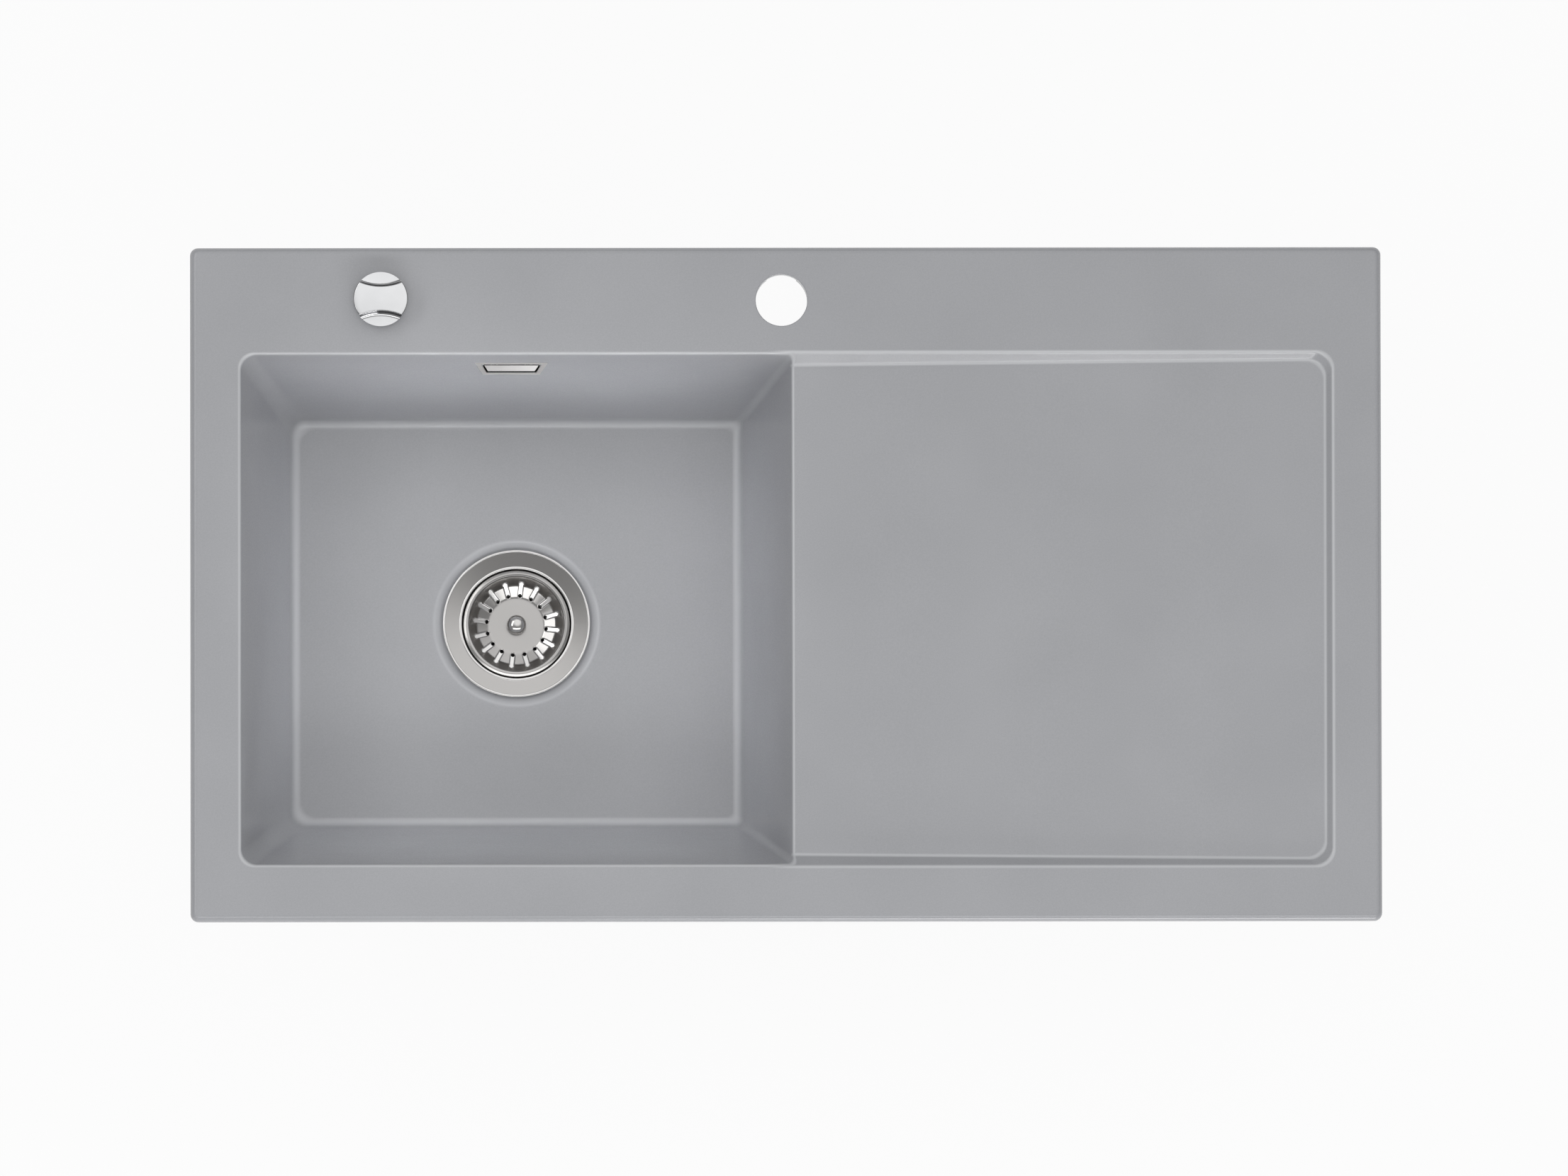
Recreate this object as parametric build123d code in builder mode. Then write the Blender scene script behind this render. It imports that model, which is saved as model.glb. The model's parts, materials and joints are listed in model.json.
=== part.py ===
from build123d import *
from math import atan, cos, pi, radians, sin, sqrt, tan
import os

# Inset ceramic sink with drainer, overflow and a basket waste that a knob on the ledge raises.
# Millimetres, +Z up. The origin is the middle of the rim outline on the worktop, under the rim.
# +X runs to the drainer, +Y to the tap ledge at the rear.

# Ceramic casting
sink_length = 900.0
sink_width = 510.0
rim_height = 12.0
outline_corner = 6.0
rim_edge_round = 5.0
skirt_inset = 24.0
skirt_drop = 12.0
skirt_corner = 20.0
side_rim = 38.0
front_rim = 43.0
tap_ledge = 81.0
bowl_length = 419.0
bowl_depth = 185.0
wall_draft = 12.0
bowl_corner = 14.0
bowl_floor_corner = 28.0
bowl_floor_round = 25.0
shell_floor_round = 33.0
ceramic_wall = 12.0
lip_round = 4.0
tray_depth_near = 10.0
tray_depth_far = 6.0
tray_foot_round = 5.0
tray_overlap = 60.0
cutter_excess = 5.0
ledge_hole_inset = 40.0
tap_hole_x = -3.0
tap_hole_radius = 19.5
hole_edge_round = 1.2
control_from_left = 144.0
control_hole_radius = 17.5

# General fits
running_gap = 0.08
fixing_gap = 0.03
free_gap = 0.3
seal_thickness = 3.0
plastic_wall = 3.0
hexagon_sides = 6

# Waste flange and cup, heights measured from the bowl floor
seat_drop = 3.0
seat_radius = 56.8
dish_radius = 62.0
drain_hole_radius = 48.0
steel_sheet = 1.2
sheet_rounding = 0.45
flange_radius = 56.0
flange_edge_rise = 0.2
flange_fall = 2.6
flange_neck_radius = 43.4
cup_radius = 41.5
cup_neck_drop = 4.5
cup_depth = 36.0
cup_seat_fall = 2.0
cup_seat_radius = 25.0
cup_opening = 19.5
throat_length = 8.0
hub_radius = 9.0
hub_height = 3.0
arm_width = 6.0
arm_count = 4
gasket_inner_radius = 49.2
gasket_outer_radius = 55.5

# Plastic pot under the bowl
pot_depth = 76.0
pot_lip_radius = 60.0
pot_lip_height = 4.0
outlet_drop = 50.0
outlet_radius = 23.9
outlet_bore = 20.5
outlet_collar_radius = 28.0
outlet_collar_length = 9.0
outlet_thread_length = 24.0
edge_chamfer = 1.0
inlet_drop = 48.0
inlet_neck_radius = 16.0
inlet_neck_length = 10.0
nipple_radius = 9.7
nipple_bore = 7.7
nipple_length = 20.0
boss_radius = 13.0
boss_length = 14.0
screw_radius = 6.0
screw_head_radius = 7.6
screw_head_height = 3.0
screw_thread_length = 9.0
pin_radius = 3.0
ring_section = 1.25

# Strainer basket, heights measured from the bowl floor
basket_sheet = 1.0
basket_rounding = 0.3
basket_rim_radius = 38.6
basket_rim_drop = 4.8
basket_rim_rise = 0.8
basket_mouth_radius = 35.8
basket_cone_radius = 31.5
basket_cone_drop = 21.0
basket_disc_radius = 20.5
basket_disc_drop = 26.5
slot_count = 16
slot_width = 3.0
slot_inner_radius = 20.0
slot_outer_radius = 31.0
slot_start_angle = 15.6
ball_radius = 7.4
ball_lift = 9.0
ball_stem_radius = 3.2
stud_radius = 2.5
stud_length = 7.5
rubber_plate = 3.0
rubber_plate_radius = 15.0
rubber_lip_radius = 23.5
rubber_lip_width = 3.0
rubber_lip_height = 2.2
retainer_radius = 12.0
retainer_height = 2.5
retainer_boss_radius = 6.0

# Overflow in the rear bowl wall
overflow_offset = -4.5
overflow_drop = 38.0
overflow_slot_length = 44.0
overflow_slot_height = 22.5
overflow_slot_corner = 7.0
frame_top_width = 55.0
frame_bottom_width = 43.0
frame_height = 31.0
frame_thickness = 1.5
window_top_width = 43.5
window_bottom_width = 36.5
window_height = 21.5
cover_top_width = 40.2
cover_bottom_width = 35.0
cover_height = 15.5
cover_thickness = 1.8
bridge_height = 7.0
bridge_depth = 5.0
bridge_pocket_length = 35.0
bridge_pocket_depth = 2.5
fixing_spread = 13.0
fixing_radius = 1.9
fixing_head_radius = 3.2
fixing_head_height = 2.0
fixing_length = 20.0
fixing_boss_radius = 4.2
housing_length = 52.0
housing_height = 30.0
housing_depth = 36.0
housing_corner = 6.0
overflow_seal = 1.5
hose_bore = 10.0
hose_root_radius = 11.8
hose_rib_radius = 13.5
hose_bend = 60.0
hose_cuff = 27.0
hose_rib_pitch = 5.0
rib_valley = 0.3
rib_flank = 0.2
hose_nut_radius = 18.0
hose_nut_length = 16.0
hose_nut_sides = 12

# Control on the ledge
rosette_radius = 20.0
rosette_height = 3.0
rosette_seal = 1.0
shank_radius = 16.0
shank_reach = 27.0
shank_stud_radius = 9.0
washer_radius = 25.0
washer_height = 2.0
nut_across_flats = 46.0
nut_height = 10.0
knob_radius = 20.5
knob_base_height = 8.5
knob_grip_height = 11.0
knob_grip_radius = 19.4
knob_waist = 9.5
knob_waist_sweep = 75.0
knob_grip_taper = 12.0
knob_edge_round = 1.5
spindle_radius = 4.0
spindle_engagement = 14.0
grub_radius = 2.0
grub_length = 7.0
grub_height = 4.5
clip_radius = 7.0
clip_height = 1.0
clip_groove = 0.6

# Rack drive in its case below the ledge
tooth_module = 0.8
tooth_count = 16
pressure_angle = 20.0
tooth_addendum = 0.64
tooth_dedendum = 0.9
tooth_thinning = 0.1
flank_steps = 4
gear_face = 8.0
rack_thickness = 7.4
rack_length = 36.0
rack_left = 12.5
rack_height = 9.7
case_half_length = 27.0
case_clearance = 3.0
case_top = 3.0
case_wall = 3.0
case_cover = 3.0
case_corner = 3.0
lug_radius = 4.5
lug_reach = 30.0
lug_rear = 4.0
lug_screw_radius = 1.6
lug_screw_head = 3.0
lug_screw_head_height = 1.8
lug_screw_length = 14.0

# Push-pull cable from the case to the lift pin
wire_radius = 1.0
wire_length = 24.0
sheath_radius = 3.0
sheath_bore = 1.35
sheath_entry = 2.0
upper_run = 26.0
upper_bend = 45.0
lower_bend = 80.0
ferrule_flange_radius = 7.5
ferrule_flange_length = 4.0
ferrule_sleeve_radius = 5.0
ferrule_sleeve_length = 14.0
ferrule_barrel_radius = 4.5
ferrule_throat = 1.4
elbow_radius = 5.0
elbow_bore = 3.35
elbow_flange = 3.0
elbow_drop = 20.0
elbow_bend = 28.0
elbow_tail = 14.0
gland_wall = 3.5
gland_engagement = 11.0
gland_lip = 3.0
gland_sides = 8
lower_sleeve_radius = 7.0
lower_sleeve_cover = 8.0
lower_sleeve_length = 16.0

# Places worked out from the sizes above
draft_run = tan(radians(wall_draft))
bowl_left = side_rim - sink_length / 2
bowl_right = bowl_left + bowl_length
bowl_front = front_rim - sink_width / 2
bowl_rear = sink_width / 2 - tap_ledge
bowl_width = bowl_rear - bowl_front
tray_right = sink_length / 2 - side_rim
floor_z = rim_height - bowl_depth
shell_z = floor_z - ceramic_wall
ledge_y = sink_width / 2 - ledge_hole_inset
drain_x = (bowl_left + bowl_right) / 2
drain_y = (bowl_front + bowl_rear) / 2
drain = (drain_x, drain_y, floor_z)
control_x = control_from_left - sink_length / 2
control = (control_x, ledge_y, 0.0)
overflow_x = drain_x + overflow_offset

wall_normal = ceramic_wall * cos(radians(wall_draft))
overflow_y = bowl_rear - overflow_drop * draft_run
overflow_z = rim_height - overflow_drop
wall_out = (0, -cos(radians(wall_draft)), sin(radians(wall_draft)))
wall_plane = Plane(origin=(overflow_x, overflow_y, overflow_z), x_dir=(1, 0, 0), z_dir=wall_out)

hose_depth = wall_normal + overflow_seal + housing_depth / 2
hose_down = -wall_plane.y_dir
hose_start = wall_plane.from_local_coords((0, -housing_height / 2 - inlet_neck_length, -hose_depth))
inlet_z = floor_z - inlet_drop

seat_level = -cup_depth - cup_seat_fall
hub_top = seat_level - throat_length + edge_chamfer
pot_top = -ceramic_wall - seal_thickness
pot_bottom = -pot_depth - plastic_wall
pot_outer_radius = drain_hole_radius + plastic_wall
boss_bottom = pot_bottom - boss_length
screw_bottom = -pot_depth - screw_thread_length
pin_bore = pin_radius + running_gap
hose_end = Vector(overflow_x, drain_y + pot_outer_radius + inlet_neck_length, inlet_z)
hose_slant = (hose_start.Z - inlet_z) / -hose_down.Z
hose_corner = hose_start + hose_down * hose_slant

pitch_radius = tooth_module * tooth_count / 2
rack_pitch = pi * tooth_module
rack_back = pitch_radius + tooth_dedendum + rack_thickness
case_front = rack_back + free_gap + case_wall
case_rear = pitch_radius + tooth_addendum + case_clearance + case_wall
case_ceiling = -shank_reach - case_top
case_floor = case_ceiling - rack_height - 2 * free_gap
case_bottom = case_floor - case_cover
rack_low = case_floor + free_gap
spindle_bore = spindle_radius + running_gap
rosette_top = rim_height + rosette_seal + rosette_height
knob_low = rosette_top + free_gap
knob_step = knob_low + knob_base_height
grub_z = knob_low + grub_height
spindle_top = knob_low + spindle_engagement
clip_top = case_bottom - free_gap
spindle_low = clip_top - 2 * clip_height

wire_y = ledge_y - pitch_radius - tooth_dedendum - rack_thickness / 2
wire_z = rack_low + rack_height / 2
sheath_top = Vector(control_x - case_half_length - sheath_entry, wire_y, wire_z)
elbow_z = floor_z + boss_bottom - elbow_drop - elbow_bend
drop_top = sheath_top - Vector(upper_run + upper_bend, 0, 0)
drop_low = Vector(drop_top.X, drop_top.Y, elbow_z)
elbow_turn = Vector(drain_x, drain_y, elbow_z)
elbow_way = (drop_low - elbow_turn).normalized()
elbow_end = elbow_turn + elbow_way * (elbow_bend + elbow_tail)


def ring(base, inner_radius, outer_radius, low, high, mode=Mode.ADD):
    """Extrude a ring about the vertical line through base, between two heights above it."""
    with BuildSketch(Plane((base[0], base[1], base[2] + low))) as section:
        Circle(outer_radius)
        if inner_radius > 0:
            Circle(inner_radius, mode=Mode.SUBTRACT)
    extrude(section.sketch, amount=high - low, mode=mode)


def turned(base, outline, mode=Mode.ADD, rounding=0.0):
    """Revolve a closed outline of (radius, height) points about the vertical line through base."""
    with BuildSketch(Plane(origin=base, x_dir=(1, 0, 0), z_dir=(0, -1, 0))) as section:
        Polygon(*outline, align=None)
        if rounding > 0:
            fillet(section.vertices(), rounding)
    revolve(section.sketch, axis=Axis(base, (0, 0, 1)), mode=mode)


def bar(start, direction, radius, length, mode=Mode.ADD, inner_radius=0.0):
    """Extrude a round bar, or a tube, from a start point along a direction."""
    with BuildSketch(Plane(origin=start, z_dir=direction)) as section:
        Circle(radius)
        if inner_radius > 0:
            Circle(inner_radius, mode=Mode.SUBTRACT)
    extrude(section.sketch, amount=length, mode=mode)


def trapezoid(top_width, bottom_width, height):
    """Draw an upright trapezoid about the middle of the current sketch."""
    Polygon(
        (-top_width / 2, height / 2),
        (-bottom_width / 2, -height / 2),
        (bottom_width / 2, -height / 2),
        (top_width / 2, height / 2),
        align=None,
    )


def drafted_block(left, right, growth, levels):
    """Loft a rounded block with drafted sides through (height, corner radius) levels."""
    sections = []
    for height, corner in levels:
        spread = growth + (height - rim_height) * draft_run
        with BuildSketch(Plane(((left + right) / 2, drain_y, height))) as section:
            RectangleRounded(right - left + 2 * spread, bowl_width + 2 * spread, corner)
        sections.append(section.sketch)
    loft(sections, ruled=True)


os.makedirs("parts", exist_ok=True)

# Ceramic casting: the hollow of the bowl
with BuildPart() as bowl_hollow:
    drafted_block(
        bowl_left,
        bowl_right,
        0,
        ((rim_height + cutter_excess, bowl_corner), (floor_z, bowl_floor_corner)),
    )
    fillet(bowl_hollow.faces().sort_by(Axis.Z)[0].edges(), bowl_floor_round)

# Ceramic casting: the hollow of the drainer, its floor falling towards the bowl
with BuildPart() as tray_hollow:
    drafted_block(
        bowl_right - tray_overlap,
        tray_right,
        0,
        ((rim_height + cutter_excess, bowl_corner), (rim_height - 2 * tray_depth_near, bowl_corner)),
    )
    tray_fall = (tray_depth_near - tray_depth_far) / (tray_right - bowl_right)
    tray_floor = Plane(
        origin=(bowl_right, drain_y, rim_height - tray_depth_near), z_dir=(-tray_fall, 0, 1)
    )
    split(bisect_by=tray_floor, keep=Keep.TOP)
    fillet(tray_hollow.faces().sort_by(Axis.Z)[0].edges(), tray_foot_round)

# Ceramic casting: the shell around the bowl
with BuildPart() as bowl_shell:
    drafted_block(
        bowl_left,
        bowl_right,
        ceramic_wall,
        ((0, bowl_corner + ceramic_wall), (shell_z, bowl_floor_corner + ceramic_wall)),
    )
    fillet(bowl_shell.faces().sort_by(Axis.Z)[0].edges(), shell_floor_round)

# Ceramic casting: rim, part below the worktop, bowl, drainer and holes
with BuildPart() as sink_body:
    with BuildSketch():
        RectangleRounded(sink_length, sink_width, outline_corner)
    extrude(amount=rim_height)
    fillet(sink_body.faces().sort_by(Axis.Z)[-1].edges(), rim_edge_round)
    with BuildSketch(Plane.XY.offset(-skirt_drop)):
        RectangleRounded(sink_length - 2 * skirt_inset, sink_width - 2 * skirt_inset, skirt_corner)
    extrude(amount=skirt_drop)
    add(bowl_shell.part)
    add(bowl_hollow.part + tray_hollow.part, mode=Mode.SUBTRACT)
    rim_top = sink_body.faces().filter_by(Axis.Z).sort_by(Axis.Z)[-1]
    fillet(rim_top.inner_wires()[0].edges(), lip_round)
    with Locations((tap_hole_x, ledge_y, rim_height)):
        Hole(tap_hole_radius)
    tap_edge = sink_body.edges().filter_by(GeomType.CIRCLE).sort_by(Axis.Z)
    tap_edge = tap_edge.filter_by(lambda edge: abs(edge.radius - tap_hole_radius) < edge_chamfer / 2)
    fillet(tap_edge[-1], hole_edge_round)
    with Locations((control_x, ledge_y, rim_height)):
        Hole(control_hole_radius)
    turned(
        drain,
        (
            (0, 0),
            (dish_radius, 0),
            (seat_radius, -seat_drop),
            (0, -seat_drop),
        ),
        mode=Mode.SUBTRACT,
    )
    with Locations((drain_x, drain_y, floor_z)):
        Hole(drain_hole_radius)
    with BuildSketch(wall_plane.offset(cutter_excess)):
        RectangleRounded(overflow_slot_length, overflow_slot_height, overflow_slot_corner)
    extrude(amount=-wall_normal - 2 * cutter_excess, mode=Mode.SUBTRACT)
sink_body.part.label = "sink_body"
export_step(sink_body.part, "parts/sink_body.step")

# Overflow frame: trapezoid trim with a bridge behind its window for the fixings
with BuildPart() as overflow_frame:
    with BuildSketch(wall_plane):
        trapezoid(frame_top_width, frame_bottom_width, frame_height)
    extrude(amount=frame_thickness)
    front_face = overflow_frame.faces().sort_by(Axis(wall_plane.origin, wall_out))[-1]
    fillet(front_face.edges(), edge_chamfer)
    with BuildSketch(wall_plane):
        trapezoid(window_top_width, window_bottom_width, window_height)
    extrude(amount=frame_thickness, mode=Mode.SUBTRACT)
    with BuildSketch(wall_plane):
        Rectangle(overflow_slot_length - 2 * free_gap, bridge_height)
    extrude(amount=-bridge_depth)
    with BuildSketch(wall_plane):
        Rectangle(bridge_pocket_length, bridge_height)
    extrude(amount=-bridge_pocket_depth, mode=Mode.SUBTRACT)
    with BuildSketch(wall_plane):
        Circle(stud_radius + fixing_gap)
        with Locations((-fixing_spread, 0), (fixing_spread, 0)):
            Circle(fixing_radius + fixing_gap)
    extrude(amount=-bridge_depth, mode=Mode.SUBTRACT)
overflow_frame.part.label = "overflow_frame"
export_step(overflow_frame.part, "parts/overflow_frame.step")

# Overflow cover: the plate that stands in the window, held by a stud in the bridge
with BuildPart() as overflow_cover:
    with BuildSketch(wall_plane.offset(free_gap)):
        trapezoid(cover_top_width, cover_bottom_width, cover_height)
    extrude(amount=cover_thickness)
    front_face = overflow_cover.faces().sort_by(Axis(wall_plane.origin, wall_out))[-1]
    fillet(front_face.edges(), edge_chamfer)
    with BuildSketch(wall_plane.offset(free_gap)):
        Circle(stud_radius)
    extrude(amount=-free_gap - bridge_depth)
overflow_cover.part.label = "overflow_cover"
export_step(overflow_cover.part, "parts/overflow_cover.step")

# Overflow gasket between the ceramic and the housing
with BuildPart() as overflow_gasket:
    with BuildSketch(wall_plane.offset(-wall_normal)):
        RectangleRounded(housing_length, housing_height, housing_corner)
        RectangleRounded(
            overflow_slot_length, overflow_slot_height, overflow_slot_corner, mode=Mode.SUBTRACT
        )
    extrude(amount=-overflow_seal)
overflow_gasket.part.label = "overflow_gasket"
export_step(overflow_gasket.part, "parts/overflow_gasket.step")

# Overflow housing: box behind the wall with two screw bosses and a hose nipple
with BuildPart() as overflow_housing:
    housing_front = wall_plane.offset(-wall_normal - overflow_seal)
    with BuildSketch(housing_front):
        RectangleRounded(housing_length, housing_height, housing_corner)
    extrude(amount=-housing_depth)
    back_face = overflow_housing.faces().sort_by(Axis(wall_plane.origin, wall_out))[0]
    fillet(back_face.edges(), plastic_wall)
    bar(hose_start, -hose_down, inlet_neck_radius, inlet_neck_length + plastic_wall)
    bar(hose_start, hose_down, nipple_radius, nipple_length)
    with BuildSketch(housing_front):
        RectangleRounded(
            housing_length - 2 * plastic_wall,
            housing_height - 2 * plastic_wall,
            housing_corner - plastic_wall,
        )
    extrude(amount=plastic_wall - housing_depth, mode=Mode.SUBTRACT)
    with BuildSketch(wall_plane.offset(-bridge_depth)):
        with Locations((-fixing_spread, 0), (fixing_spread, 0)):
            Circle(fixing_boss_radius)
    extrude(amount=bridge_depth - wall_normal - overflow_seal - housing_depth + plastic_wall)
    bar(
        hose_start - hose_down * (inlet_neck_length + 2 * plastic_wall),
        hose_down,
        nipple_bore,
        inlet_neck_length + 2 * plastic_wall + nipple_length,
        mode=Mode.SUBTRACT,
    )
    with BuildSketch(wall_plane.offset(-bridge_depth)):
        with Locations((-fixing_spread, 0), (fixing_spread, 0)):
            Circle(fixing_radius + fixing_gap)
    extrude(amount=-fixing_length, mode=Mode.SUBTRACT)
overflow_housing.part.label = "overflow_housing"
export_step(overflow_housing.part, "parts/overflow_housing.step")

# Overflow screws: two pan heads on the bridge, threaded into the housing bosses
with BuildPart() as overflow_screws:
    with BuildSketch(wall_plane.offset(-bridge_pocket_depth)):
        with Locations((-fixing_spread, 0), (fixing_spread, 0)):
            Circle(fixing_head_radius)
    extrude(amount=fixing_head_height)
    with BuildSketch(wall_plane.offset(-bridge_pocket_depth)):
        with Locations((-fixing_spread, 0), (fixing_spread, 0)):
            Circle(fixing_radius)
    extrude(amount=-fixing_length)
overflow_screws.part.label = "overflow_screws"
export_step(overflow_screws.part, "parts/overflow_screws.step")

# Overflow hose: plain cuffs and even ribs along two straight runs and one bend
with BuildPart() as overflow_hose:
    with BuildLine() as hose_line:
        FilletPolyline(hose_start, hose_corner, hose_end, radius=hose_bend)
    hose_path = hose_line.wires()[0]
    rib_count = round((hose_path.length - 2 * hose_cuff) / hose_rib_pitch)
    rib_step = (hose_path.length - 2 * hose_cuff) / rib_count
    rib_shape = (
        (0, hose_root_radius),
        (rib_valley, hose_root_radius),
        (rib_valley + rib_flank, hose_rib_radius),
        (1 - rib_flank, hose_rib_radius),
    )
    rib_circles = [(0, hose_rib_radius), (hose_cuff - rib_valley * rib_step, hose_rib_radius)]
    for rib in range(rib_count):
        for share, radius in rib_shape:
            rib_circles.append((hose_cuff + (rib + share) * rib_step, radius))
    rib_circles.append((hose_path.length, hose_rib_radius))
    hose_sections = []
    for distance, radius in rib_circles:
        station = hose_path.position_at(distance, position_mode=PositionMode.LENGTH)
        heading = hose_path.tangent_at(distance, position_mode=PositionMode.LENGTH)
        with BuildSketch(Plane(origin=station, x_dir=(1, 0, 0), z_dir=heading)) as hose_section:
            Circle(radius)
        hose_sections.append(hose_section.sketch)
    loft(hose_sections, ruled=True)
    with BuildSketch(Plane(origin=hose_start, x_dir=(1, 0, 0), z_dir=hose_down)) as hose_hole:
        Circle(hose_bore)
    sweep(hose_hole.sketch, path=hose_path, mode=Mode.SUBTRACT)
overflow_hose.part.label = "overflow_hose"
export_step(overflow_hose.part, "parts/overflow_hose.step")


def hose_nut(seat, direction):
    """Extrude a faceted union nut round a hose end, away from the neck it screws to."""
    with BuildSketch(Plane(origin=seat, x_dir=(1, 0, 0), z_dir=direction)) as section:
        RegularPolygon(hose_nut_radius, hose_nut_sides)
        Circle(hose_rib_radius + free_gap, mode=Mode.SUBTRACT)
    extrude(section.sketch, amount=hose_nut_length)


# Union nut at the overflow housing
with BuildPart() as hose_nut_upper:
    hose_nut(hose_start, hose_down)
hose_nut_upper.part.label = "hose_nut_upper"
export_step(hose_nut_upper.part, "parts/hose_nut_upper.step")

# Union nut at the waste pot
with BuildPart() as hose_nut_lower:
    hose_nut(hose_end, (0, 1, 0))
hose_nut_lower.part.label = "hose_nut_lower"
export_step(hose_nut_lower.part, "parts/hose_nut_lower.step")

# Waste flange: dished rim, cup, sloping seat, throat and the spider that carries the hub
with BuildPart() as strainer_flange:
    turned(
        drain,
        (
            (flange_radius, flange_edge_rise),
            (flange_neck_radius, flange_edge_rise - flange_fall),
            (cup_radius, -cup_neck_drop),
            (cup_radius, -cup_depth),
            (cup_seat_radius, seat_level),
            (cup_opening, seat_level),
            (cup_opening, seat_level - throat_length),
            (cup_opening + steel_sheet, seat_level - throat_length),
            (cup_opening + steel_sheet, seat_level - steel_sheet),
            (cup_seat_radius, seat_level - steel_sheet),
            (cup_radius + steel_sheet, -cup_depth - steel_sheet),
            (cup_radius + steel_sheet, -cup_neck_drop - steel_sheet),
            (flange_neck_radius, flange_edge_rise - flange_fall - steel_sheet),
            (flange_radius, flange_edge_rise - steel_sheet),
        ),
        rounding=sheet_rounding,
    )
    arm_reach = cup_opening + steel_sheet / 2
    with BuildSketch(Plane((drain_x, drain_y, floor_z + hub_top))):
        with PolarLocations(arm_reach / 2, arm_count):
            Rectangle(arm_reach, arm_width)
        Circle(hub_radius)
        Circle(screw_radius + fixing_gap, mode=Mode.SUBTRACT)
    extrude(amount=-hub_height)
strainer_flange.part.label = "strainer_flange"
export_step(strainer_flange.part, "parts/strainer_flange.step")

# Flange gasket: wedge ring that fills the space under the dished flange
with BuildPart() as flange_gasket:
    flange_slope = flange_fall / (flange_radius - flange_neck_radius)
    flange_under = flange_edge_rise - steel_sheet
    turned(
        drain,
        (
            (gasket_inner_radius, -seat_drop),
            (gasket_outer_radius, -seat_drop),
            (gasket_outer_radius, flange_under - (flange_radius - gasket_outer_radius) * flange_slope),
            (gasket_inner_radius, flange_under - (flange_radius - gasket_inner_radius) * flange_slope),
        ),
    )
flange_gasket.part.label = "flange_gasket"
export_step(flange_gasket.part, "parts/flange_gasket.step")

# Pot gasket under the bowl floor
with BuildPart() as pot_gasket:
    ring(drain, drain_hole_radius, pot_lip_radius, pot_top, -ceramic_wall)
pot_gasket.part.label = "pot_gasket"
export_step(pot_gasket.part, "parts/pot_gasket.step")

# Waste pot: lip, wall, side outlet, overflow inlet and the threaded boss for the lift pin
with BuildPart() as waste_pot:
    outlet_z = floor_z - outlet_drop
    collar_end = pot_outer_radius + outlet_collar_length
    outlet_end = collar_end + outlet_thread_length
    ring(drain, 0, pot_outer_radius, pot_bottom, pot_top)
    ring(drain, 0, pot_lip_radius, pot_top - pot_lip_height, pot_top)
    ring(drain, 0, boss_radius, boss_bottom, pot_bottom)
    bar((drain_x, drain_y, outlet_z), (1, 0, 0), outlet_collar_radius - plastic_wall, collar_end)
    bar((drain_x + collar_end, drain_y, outlet_z), (-1, 0, 0), outlet_collar_radius, plastic_wall)
    bar((drain_x, drain_y, outlet_z), (1, 0, 0), outlet_radius, outlet_end)
    chamfer(waste_pot.faces().sort_by(Axis.X)[-1].edges(), edge_chamfer)
    bar((overflow_x, drain_y, inlet_z), (0, 1, 0), inlet_neck_radius, hose_end.Y - drain_y)
    bar(hose_end, (0, 1, 0), nipple_radius, nipple_length)
    ring(drain, 0, drain_hole_radius, -pot_depth, pot_top, mode=Mode.SUBTRACT)
    bar((drain_x, drain_y, outlet_z), (1, 0, 0), outlet_bore, outlet_end, mode=Mode.SUBTRACT)
    bar(
        (overflow_x, drain_y, inlet_z),
        (0, 1, 0),
        nipple_bore,
        hose_end.Y - drain_y + nipple_length,
        mode=Mode.SUBTRACT,
    )
    ring(drain, 0, screw_radius + fixing_gap, screw_bottom, -pot_depth, mode=Mode.SUBTRACT)
    ring(drain, 0, pin_bore, boss_bottom, screw_bottom, mode=Mode.SUBTRACT)
    ring(
        drain,
        0,
        pin_bore + 2 * ring_section + fixing_gap,
        boss_bottom,
        boss_bottom + 2 * ring_section + fixing_gap,
        mode=Mode.SUBTRACT,
    )
waste_pot.part.label = "waste_pot"
export_step(waste_pot.part, "parts/waste_pot.step")

# Hollow screw that draws the flange down to the pot and guides the lift pin
with BuildPart() as hollow_screw:
    ring(drain, pin_bore, screw_radius, screw_bottom, hub_top)
    ring(drain, pin_bore, screw_head_radius, hub_top, hub_top + screw_head_height)
    chamfer(hollow_screw.faces().sort_by(Axis.Z)[-1].outer_wire().edges(), edge_chamfer)
hollow_screw.part.label = "hollow_screw"
export_step(hollow_screw.part, "parts/hollow_screw.step")

# Lift pin
with BuildPart() as lift_pin:
    ring(drain, 0, pin_radius, boss_bottom - elbow_drop + edge_chamfer, seat_level)
    chamfer(lift_pin.faces().sort_by(Axis.Z)[-1].edges(), edge_chamfer)
lift_pin.part.label = "lift_pin"
export_step(lift_pin.part, "parts/lift_pin.step")

# Pin seal in the mouth of the boss
with BuildPart() as pin_seal:
    with Locations((drain_x, drain_y, floor_z + boss_bottom + ring_section)):
        Torus(pin_bore + ring_section, ring_section)
pin_seal.part.label = "pin_seal"
export_step(pin_seal.part, "parts/pin_seal.step")

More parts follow.
